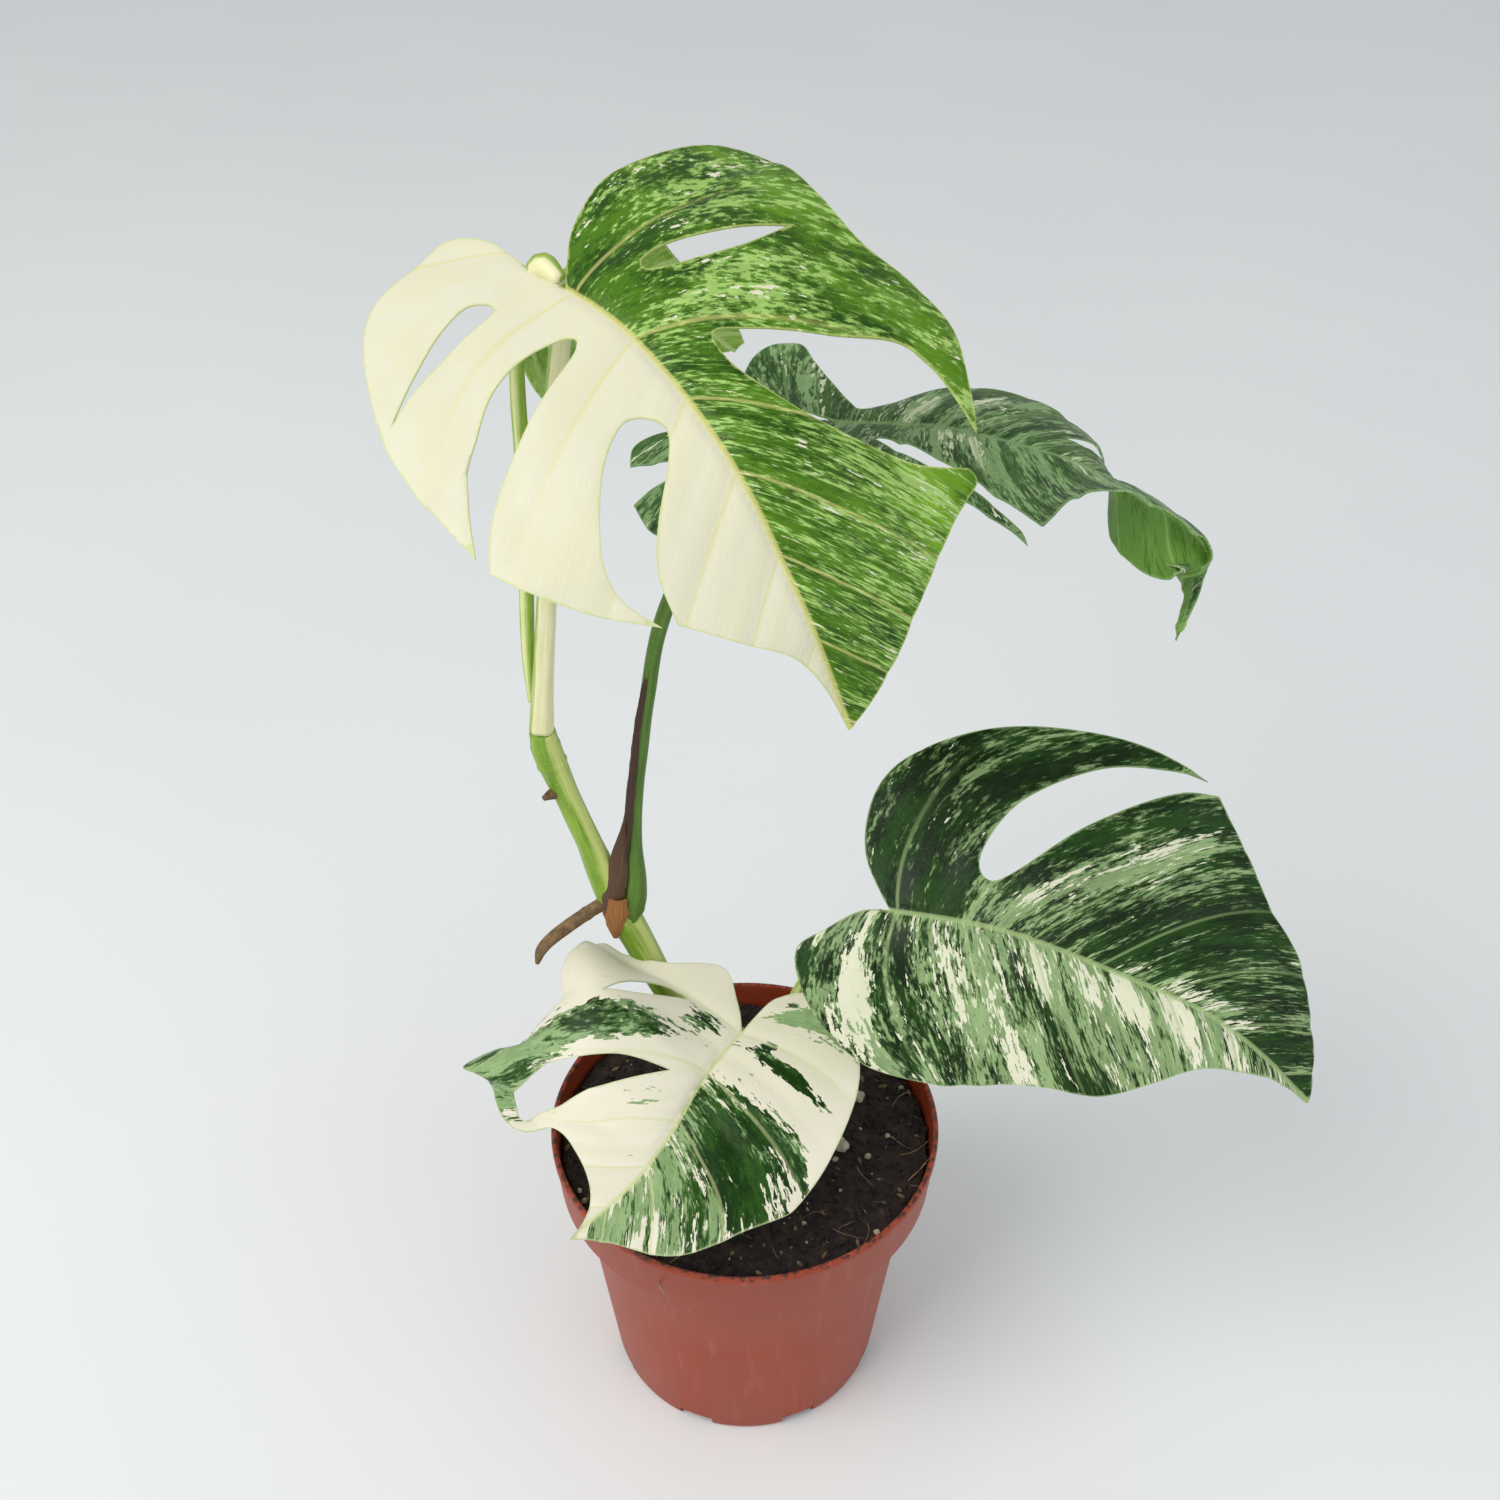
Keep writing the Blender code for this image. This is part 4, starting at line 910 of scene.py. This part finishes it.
def blade(name, leaf, upper_skin, under_skin, slot, node):
    """The blade as one closed mesh: its upper face, its underside with raised ribs, and its margin."""
    flat, faces = flat_sheet(leaf)
    start = vein_start(leaf, flat)
    rise, ribs = relief(leaf, flat, start)
    middle = posed(leaf, flat)
    count = len(flat)
    sheet = bpy.data.meshes.new("sheet")
    sheet.from_pydata(middle.tolist(), [], faces[:, ::-1].tolist())
    normals = np.zeros(count * 3)
    sheet.vertices.foreach_get("normal", normals)
    bpy.data.meshes.remove(sheet)
    normals = normals.reshape(-1, 3)
    toward = normals * np.sign(normals[count // 2] @ np.array(leaf["facing"][1]))
    # Sides that only one triangle has are the margin.
    pairs = np.concatenate([faces[:, [0, 1]], faces[:, [1, 2]], faces[:, [2, 0]]])
    _, index, uses = np.unique(np.sort(pairs, axis=1), axis=0, return_inverse=True, return_counts=True)
    rim = pairs[uses[index.reshape(-1)] == 1]
    at_margin = np.zeros(count)
    at_margin[np.unique(rim)] = 1.0
    thick = 0.9 * (1.0 - 0.45 * at_margin)
    top = middle + toward * (thick / 2 + rise)[:, None]
    bottom = middle + toward * (np.minimum(ribs, rise) - thick / 2)[:, None]
    a, b, c = top[faces[0]]
    if np.cross(b - a, c - a) @ toward[faces[0, 0]] <= 0:
        faces, rim = faces[:, ::-1], rim[:, ::-1]
    walls = np.column_stack([rim[:, 1], rim[:, 0], rim[:, 0] + count, rim[:, 1] + count])
    shapes = faces.tolist() + (faces[:, ::-1] + count).tolist() + walls.tolist()
    mesh = mesh_of(name, np.vstack([top, bottom]), shapes)
    made = link(name, mesh, upper_skin, under_skin)
    kinds = np.array([0] * len(faces) + [1] * len(faces) + [0] * len(walls), dtype=np.int32)
    mesh.polygons.foreach_set("material_index", kinds)
    corners = np.zeros(len(mesh.loops), dtype=np.int32)
    mesh.loops.foreach_get("vertex_index", corners)
    corners %= count
    across, start = flat[corners, 0], start[corners]
    marks = np.column_stack([across, start]) / 100
    mesh.uv_layers.new(name="veins").data.foreach_set("uv", marks.astype(np.float32).ravel())
    # The half is the face's own, so the tint parts sharply at the midrib.
    owner = np.repeat(np.arange(len(shapes)), [len(shape) for shape in shapes])
    half = np.where(np.bincount(owner, weights=across)[owner] > 0, 1.0, -1.0)
    tints = np.column_stack([painted(leaf, across, start, half), at_margin[corners]])
    colours = mesh.attributes.new("tint", "FLOAT_COLOR", "CORNER")
    colours.data.foreach_set("color", tints.astype(np.float32).ravel())
    mesh.shade_smooth()
    mesh.set_sharp_from_angle(angle=radians(70))
    settle(made, slot, node)


TOP_LEAF = {
    "length": 158.0,
    "midrib": [(-50, 14, 459), (-28, -8, 452), (-2, -40, 431), (18, -62, 396), (30, -70, 365)],
    "facing": [(0.0, -0.55, 0.83), (0.15, -0.75, 0.60), (0.30, -0.90, 0.35)],
    "left": [(0, 5, -40), (0.5, 0, -35), (1, -5, -30)],
    "right": [(0, 5, -25), (0.5, 5, -25), (1, 5, -25)],
    "outline": [
        (0, 0), (0, 0), (2, -14), (3, -29), (10, -40), (22, -40), (42, -38), (55, -26), (67, -5),
        (74, 15), (74, 38), (72, 61), (72, 61), (65, 43), (55, 23), (42, 12), (26, 10), (13, 15),
        (14, 20), (30, 27), (50, 41), (64, 55), (71, 68), (71, 68), (63, 84), (52, 98), (37, 109),
        (37, 109), (44, 96), (42, 80), (31, 61), (18, 51), (10, 58), (14, 67), (25, 81), (32, 95),
        (33, 110), (33, 110), (20, 121), (8, 131), (3, 142), (0, 158), (0, 158), (-16, 148), (-36, 131),
        (-52, 117), (-65, 110), (-64, 105), (-64, 105), (-47, 97), (-28, 78), (-17, 56), (-17, 42),
        (-26, 45), (-45, 57), (-66, 70), (-72, 97), (-72, 97), (-83, 70), (-82, 50), (-76, 32),
        (-83, 8), (-79, -10), (-66, -19), (-40, -23), (-18, -16), (-6, -6),
    ],
    "holes": [
        [(19, -9), (23, -16), (36, -15), (50, -10), (63, -4), (63, -4), (50, -7), (34, -8)],
        [(-18, 15), (-22, 12), (-41, 18), (-60, 26), (-60, 26), (-44, 25), (-26, 20)],
    ],
    "veins": (4.0, 25.0),
    "sweep": [(-30, 0.007), (0, 0.006), (60, 0.004), (110, 0.003)],
    "lean": [(-30, -1.2), (0, -0.35), (17, 0.0), (40, 0.6), (70, 0.85), (110, 1.1)],
    "left_tint": (-0.04, 0.24, 0.1),
    "right_tint": (2.5, 0.9, 0.0),
    "splashes": [
        (-42, 0, 14, 3, 0.2, 0.35), (-30, 24, 14, 2.5, 0.35, 0.45), (-16, 33, 9, 1.8, 0.35, 0.4),
        (-48, 58, 6, 3, 0.3, 0.45), (-12, 6, 16, 14, -0.1, -0.3, -0.1),
        (-14, 40, 16, 6, -0.1, -0.25, -0.1), (-55, 66, 20, 16, 0.0, 0.05, 0.9),
        (-40, 90, 14, 30, 0.05, 0.14, 0.1), (-66, 10, 10, 40, 0.0, 0.0, 0.3),
    ],
}

# Green half: mid green with pale yellow-green flecks. Cream half: ivory with a yellow cast at the veins.
top_upper = leaf_skin(
    "variegated_top_blade", TOP_LEAF,
    "#1F4402 #447009 #7DB018 #A3C76C #DAD8C0 #D3CF80", 0.4, 1.5, 0.8, 0.8,
)
top_under = leaf_skin(
    "top_blade_underside", TOP_LEAF,
    "#64903C #7DA653 #96BA55 #B9CE92 #D8D6B6 #C6D494", 0.5, 0.8, 0.8, 0.8,
)
blade("top_leaf_blade", TOP_LEAF, top_upper, top_under, "half_cream_blade", "leaf_top")


# ======== right leaf
# The grey-green blade on the right, which arches over and droops at its tip. Its far edge is rolled,
# a narrow finger hangs at its near side, and cream and mint splashes lie along the midrib.

RIGHT_LEAF = {
    "length": 167.0,
    "midrib": [
        (30, 76, 386), (69, 54, 394), (109, 36, 390), (138, 24, 378), (147, 18, 364), (135, 5, 339),
    ],
    "facing": [
        (0.1, 0.0, 1.0), (0.15, -0.03, 0.98), (0.2, -0.05, 0.97), (0.26, 0.5, 0.8), (0.35, 0.1, 0.87),
    ],
    "left": [
        (-0.3, 25, -15), (0, 15, -35), (0.4, 5, -60), (0.5, -4, -65), (0.56, -16, -55),
        (0.62, -60, -45), (0.7, -85, -25), (0.8, -125, 0), (1, -140, 0),
    ],
    "right": [
        (-0.3, -20, -40), (0, -5, -20), (0.4, -5, -25), (0.6, 10, -10), (0.8, -20, 0), (1, -60, 0),
    ],
    "outline": [
        (0, 0), (0, 0), (3, -14), (6, -36), (11, -58), (19, -70), (28, -68), (28, -68), (25, -56),
        (25, -42), (29, -44), (35, -54), (43, -60), (43, -60), (54, -46), (57, -24), (54, 0), (40, 22),
        (34, 36), (34, 50), (37, 64), (45, 77), (53, 85), (53, 85), (46, 81), (36, 71), (30, 61),
        (26, 50), (20, 36), (12, 22), (12, 30), (17, 42), (22, 54), (28, 66), (35, 76), (44, 87),
        (44, 87), (34, 89), (24, 92), (20, 99), (19, 108), (14, 120), (7, 134), (4, 150), (0, 167),
        (0, 167), (-6, 160), (-12, 151), (-18, 139), (-20, 126), (-21, 114), (-22, 104), (-20, 96),
        (-17, 86), (-14, 78), (-20, 82), (-28, 87), (-34, 93), (-34, 93), (-37, 82), (-39, 68),
        (-39, 54), (-36, 42), (-28, 31), (-16, 19), (-8, 9), (-12, 0), (-21, -11), (-32, -23),
        (-40, -32), (-37, -41), (-27, -45), (-14, -41), (-5, -20),
    ],
    "holes": [],
    "veins": (6.0, 22.0),
    "sweep": [(-30, 0.005), (60, 0.003)],
    "lean": [(-30, -1.0), (0, -0.4), (25, 0.1), (50, 0.5), (80, 0.8), (120, 1.0)],
    "left_tint": (0.0, 0.3, 0.0),
    "right_tint": (0.0, 0.32, 0.0),
    "splashes": [
        (-9, 27, 9, 6, 0.75, 0.5), (-20, 38, 12, 6, 0.6, 0.5), (-14, 34, 22, 3, -0.5, -0.5),
        (5, 44, 4, 9, 0.5, 0.4), (-44, 46, 13, 42, -0.2, -0.3, 0.95), (30, 40, 12, 14, 0.1, 0.15),
        (8, 108, 20, 22, 0.0, 0.1),
    ],
}

# Grey green, with fine mint flecks; the rolled edge is olive.
right_upper = leaf_skin(
    "grey_green_blade_skin", RIGHT_LEAF,
    "#24421A #43662F #5B7D16 #8CAC74 #D6DBBA #87A86C", 0.42, 1.2, 0.9, 1.2,
)
right_under = leaf_skin(
    "right_blade_underside", RIGHT_LEAF,
    "#4A7026 #66903E #6E9A44 #86AC5C #B9CC90 #9DBD6C", 0.5, 0.25, 0.3, 0.3,
)
blade("right_leaf_blade", RIGHT_LEAF, right_upper, right_under, "grey_green_blade", "leaf_right")


# ======== low right leaf
# The broad blade low on the right: dark green above its one deep slit, then bands of cream and mint
# that run out along the veins, and a paler lower half.

LOW_RIGHT_LEAF = {
    "length": 161.0,
    "midrib": [(51, 0, 235), (88, -12, 237), (125, -26, 231), (162, -40, 220), (192, -55, 197)],
    "facing": [(0.10, -0.55, 0.83), (0.15, -0.55, 0.83), (0.45, -0.45, 0.78)],
    "left": [(-0.3, 5, -15), (0, 12, -15), (0.5, 12, -15), (1, 0, -20)],
    "right": [(-0.3, -15, -60), (0, -12, -60), (0.5, -10, -65), (1, 0, -60)],
    "outline": [
        (0, 0), (0, 0), (2, -10), (10, -21), (19, -31), (32, -28), (46, -18), (57, -3), (61, 20),
        (56, 46), (47, 72), (42, 90), (31, 106), (19, 120), (10, 135), (3, 148), (0, 161), (0, 161),
        (-20, 151), (-37, 134), (-46, 119), (-60, 107), (-74, 93), (-74, 93), (-66, 76), (-45, 56),
        (-22, 40), (-16, 32), (-24, 28), (-46, 36), (-66, 54), (-75, 74), (-77, 88), (-77, 88),
        (-80, 64), (-76, 40), (-66, 14), (-54, -6), (-38, -14), (-18, -12),
    ],
    "holes": [],
    "veins": (3.0, 24.0),
    "sweep": [(-20, 0.011), (0, 0.009), (30, 0.005), (60, 0.003), (110, 0.002)],
    "lean": [(-30, -1.0), (0, -0.3), (20, 0.15), (40, 0.6), (70, 0.8), (110, 1.0)],
    "left_tint": (-0.28, 0.1, 0.0),
    "right_tint": (0.26, 0.58, 0.0),
    "splashes": [
        (-44, 50, 30, 8, 0.62, 0.55), (-30, 40, 22, 4, 0.5, 0.4), (-12, 36, 12, 8, 0.5, 0.45),
        (-30, 26, 24, 5, 0.1, 0.2), (-14, 10, 12, 12, -0.2, -0.25), (-34, 80, 34, 14, -0.15, -0.2),
        (-4, 105, 5, 28, 0.75, 0.4), (-40, 96, 7, 4, 0.8, 0.6), (30, -6, 16, 3, 0.6, 0.3),
        (22, -15, 9, 4, -0.7, -0.7), (22, 6, 40, 6, -0.3, -0.5), (46, 20, 9, 5, -0.3, -0.3),
        (15, 40, 12, 3.5, -0.4, -0.75), (44, 56, 9, 12, -0.4, -0.6), (24, 52, 12, 4, -0.2, -0.4),
        (8, 82, 8, 26, 0.55, 0.1), (28, 30, 14, 7, 0.15, 0.3),
    ],
}

# Dark green, mint and cream in streaks.
low_right_upper = leaf_skin(
    "dark_variegated_blade", LOW_RIGHT_LEAF,
    "#082001 #1C420B #37651C #93AE78 #E0DFC6 #9FB87C", 0.38, 1.3, 0.9, 1.3,
)
low_right_under = leaf_skin(
    "low_right_underside", LOW_RIGHT_LEAF,
    "#4E7C38 #6E9A50 #7CA654 #A3C286 #D0D6B4 #B0C88C", 0.5,
)
blade(
    "low_right_leaf_blade", LOW_RIGHT_LEAF, low_right_upper, low_right_under,
    "dark_green_blade", "leaf_low_right",
)


# ======== low front leaf
# The small cream blade over the front of the pot, with a green and mint sector beside the midrib. Its
# rear left lobe curls up and over, round two holes.

LOW_FRONT_LEAF = {
    "length": 103.0,
    "midrib": [(-1, 5, 169), (-15, -16, 166), (-28, -38, 158), (-40, -56, 155), (-60, -74, 149)],
    "facing": [(0.10, 0.0, 1.0), (-0.05, -0.20, 0.95), (-0.15, -0.35, 0.90)],
    "left": [(-0.3, 10, -20), (0, 8, -40), (0.5, 5, -50), (1, 0, -40)],
    "right": [
        (-0.3, 8, -15, 90, 0), (0, 8, -15, 70, 0), (0.1, 20, -15, 45, -100), (0.25, 40, -30, 35, -230),
        (0.45, 30, -30, 40, -190), (0.6, 8, -15, 50, -60), (0.8, 0, -30, 90, 0), (1, 0, -40, 90, 0),
    ],
    "outline": [
        (0, 0), (0, 0), (8, -9), (22, -19), (40, -8), (56, -3), (67, -2), (71, 10), (80, 26), (88, 44),
        (86, 64), (75, 82), (60, 90), (46, 88), (37, 76), (24, 79), (9, 86), (2, 94), (0, 103),
        (0, 103), (-10, 94), (-28, 82), (-40, 68), (-53, 50), (-55, 20), (-48, -6), (-34, -22),
        (-16, -29), (-3, -20),
    ],
    "holes": [
        [(24, 1), (33, 3), (41, 11), (50, 23), (50, 23), (40, 18), (30, 9)],
        [
            (13, 31), (13, 31), (32, 36), (47, 47), (57, 60), (61, 76), (56, 84), (50, 84),
            (46, 72), (38, 58), (25, 42),
        ],
    ],
    "pushes": [((74, 10), (24, 26), (0.4, -6.5, 6.2))],
    "veins": (2.0, 21.0),
    "sweep": [(-20, 0.005), (60, 0.003)],
    "lean": [(-30, -1.0), (0, -0.25), (20, 0.2), (40, 0.5), (70, 0.9), (100, 1.1)],
    "left_tint": (1.35, 0.45, 0.0),
    "right_tint": (1.4, 0.5, 0.0),
    "splashes": [
        (-26, 7, 19, 2.0, -1.9, -0.7), (-12, 3, 4, 1.2, -1.5, -0.6), (-24, 34, 36, 19, -1.5, -0.6),
        (-40, 20, 14, 3.5, -1.0, -0.3), (-26, 60, 20, 10, -0.9, 0.2), (-6, 62, 8, 24, -0.7, 0.4),
        (-12, 84, 16, 13, -1.3, 0.15), (-30, -9, 28, 5, -1.9, 0.5), (14, 8, 10, 5, -1.2, -0.2),
        (38, 17, 26, 4.5, -1.5, -0.1), (78, 24, 24, 9, -1.5, 0.1), (96, 26, 18, 16, -1.3, 0.1),
        (70, 39, 20, 14, -1.9, 0.1), (16, 36, 10, 6, -0.8, 0.4),
    ],
}

# Ivory with dark green and mint streaks.
low_front_upper = leaf_skin(
    "cream_variegated_blade", LOW_FRONT_LEAF,
    "#0F3003 #28510F #47782A #96B27C #E6E0CE #CDD49A", 0.4, 1.1, 1.0, 1.2,
)
low_front_under = leaf_skin(
    "low_front_underside", LOW_FRONT_LEAF,
    "#64904A #80A664 #80A664 #ADC890 #DAD8B8 #C6D69C", 0.5,
)
blade(
    "low_front_leaf_blade", LOW_FRONT_LEAF, low_front_upper, low_front_under,
    "cream_blade", "leaf_low_front",
)


# ======== hidden leaf
# A smaller blade behind the top leaf, with its back to the front: its light green underside shows
# through the slits and between the petioles.

HIDDEN_LEAF = {
    "length": 80.0,
    "midrib": [(-68, 46, 433), (-48, 56, 441), (-24, 64, 434), (-2, 70, 414)],
    "facing": [(0.0, 0.95, 0.25), (0.1, 0.95, 0.30), (0.3, 0.90, 0.30)],
    "left": [(0, 10, -25), (0.5, 10, -25), (1, 5, -25)],
    "right": [(0, 10, -25), (0.5, 10, -25), (1, 5, -25)],
    "outline": [
        (0, 0), (0, 0), (4, 3), (6, 12), (9, 20), (16, 27), (23, 33), (23, 33), (20, 40), (15, 46),
        (12, 53), (12, 61), (9, 70), (4, 80), (4, 80), (-5, 79), (-12, 73), (-20, 64), (-27, 54),
        (-31, 42), (-31, 29), (-24, 22), (-18, 16), (-24, 14), (-30, 6), (-34, -2), (-34, -2),
        (-24, -4), (-14, -4), (-5, -2),
    ],
    "holes": [[(-8, 26), (-12, 24), (-22, 34), (-22, 34), (-14, 33)]],
    "veins": (2.0, 21.0),
    "sweep": [(-20, 0.005), (60, 0.003)],
    "lean": [(-30, -1.0), (0, -0.25), (20, 0.2), (40, 0.5), (70, 0.9), (100, 1.1)],
    "left_tint": (0.05, 0.25, 0.0),
    "right_tint": (0.05, 0.25, 0.0),
    "splashes": [(-12, 30, 10, 5, 0.3, 0.2)],
}

# The underside is a light yellow green, clouded and almost matt.
hidden_under = leaf_skin(
    "light_green_underside", HIDDEN_LEAF,
    "#6F9A34 #98BC58 #A9C868 #B9D28A #DDE2B8 #CBDA94", 0.5, 0.5, 0.6, 1.0,
)
blade("hidden_leaf_blade", HIDDEN_LEAF, top_upper, hidden_under, "light_green_blade", "leaf_hidden")


# ======== loose chips
# Three larger bits of bark and perlite that lie on the potting mix: matt, angular and broken.


def chip(name, node, turns, surface):
    """A broken lump that fills the place of its solid, with cut faces and worn corners."""
    low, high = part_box(node)
    middle, size = (low + high) / 2, (high - low) / 2
    made = bmesh.new()
    bmesh.ops.create_icosphere(made, subdivisions=4, radius=1.0)
    for vertex in made.verts:
        direction = vertex.co.normalized()
        spread = 0.86 + 0.3 * noise.noise(direction * 1.4 + Vector((turns, 0, 0)))
        facet = 0.10 * noise.cell(direction * 2.3 + Vector((0, turns, 0)))
        spread += facet + 0.07 * noise.noise(direction * 6.0)
        vertex.co = middle + Vector([d * spread * s for d, s in zip(direction, size)])
    mesh = bpy.data.meshes.new(name)
    made.to_mesh(mesh)
    made.free()
    mesh.shade_smooth()
    mesh.set_sharp_from_angle(angle=radians(30))
    settle(link(name, mesh, surface), "bark", node)


chip("perlite_lump", "chip_front", 2.0, perlite)
chip("bark_lump", "chip_right", 5.0, perlite)
chip("bark_flake", "chip_back", 9.0, bark)
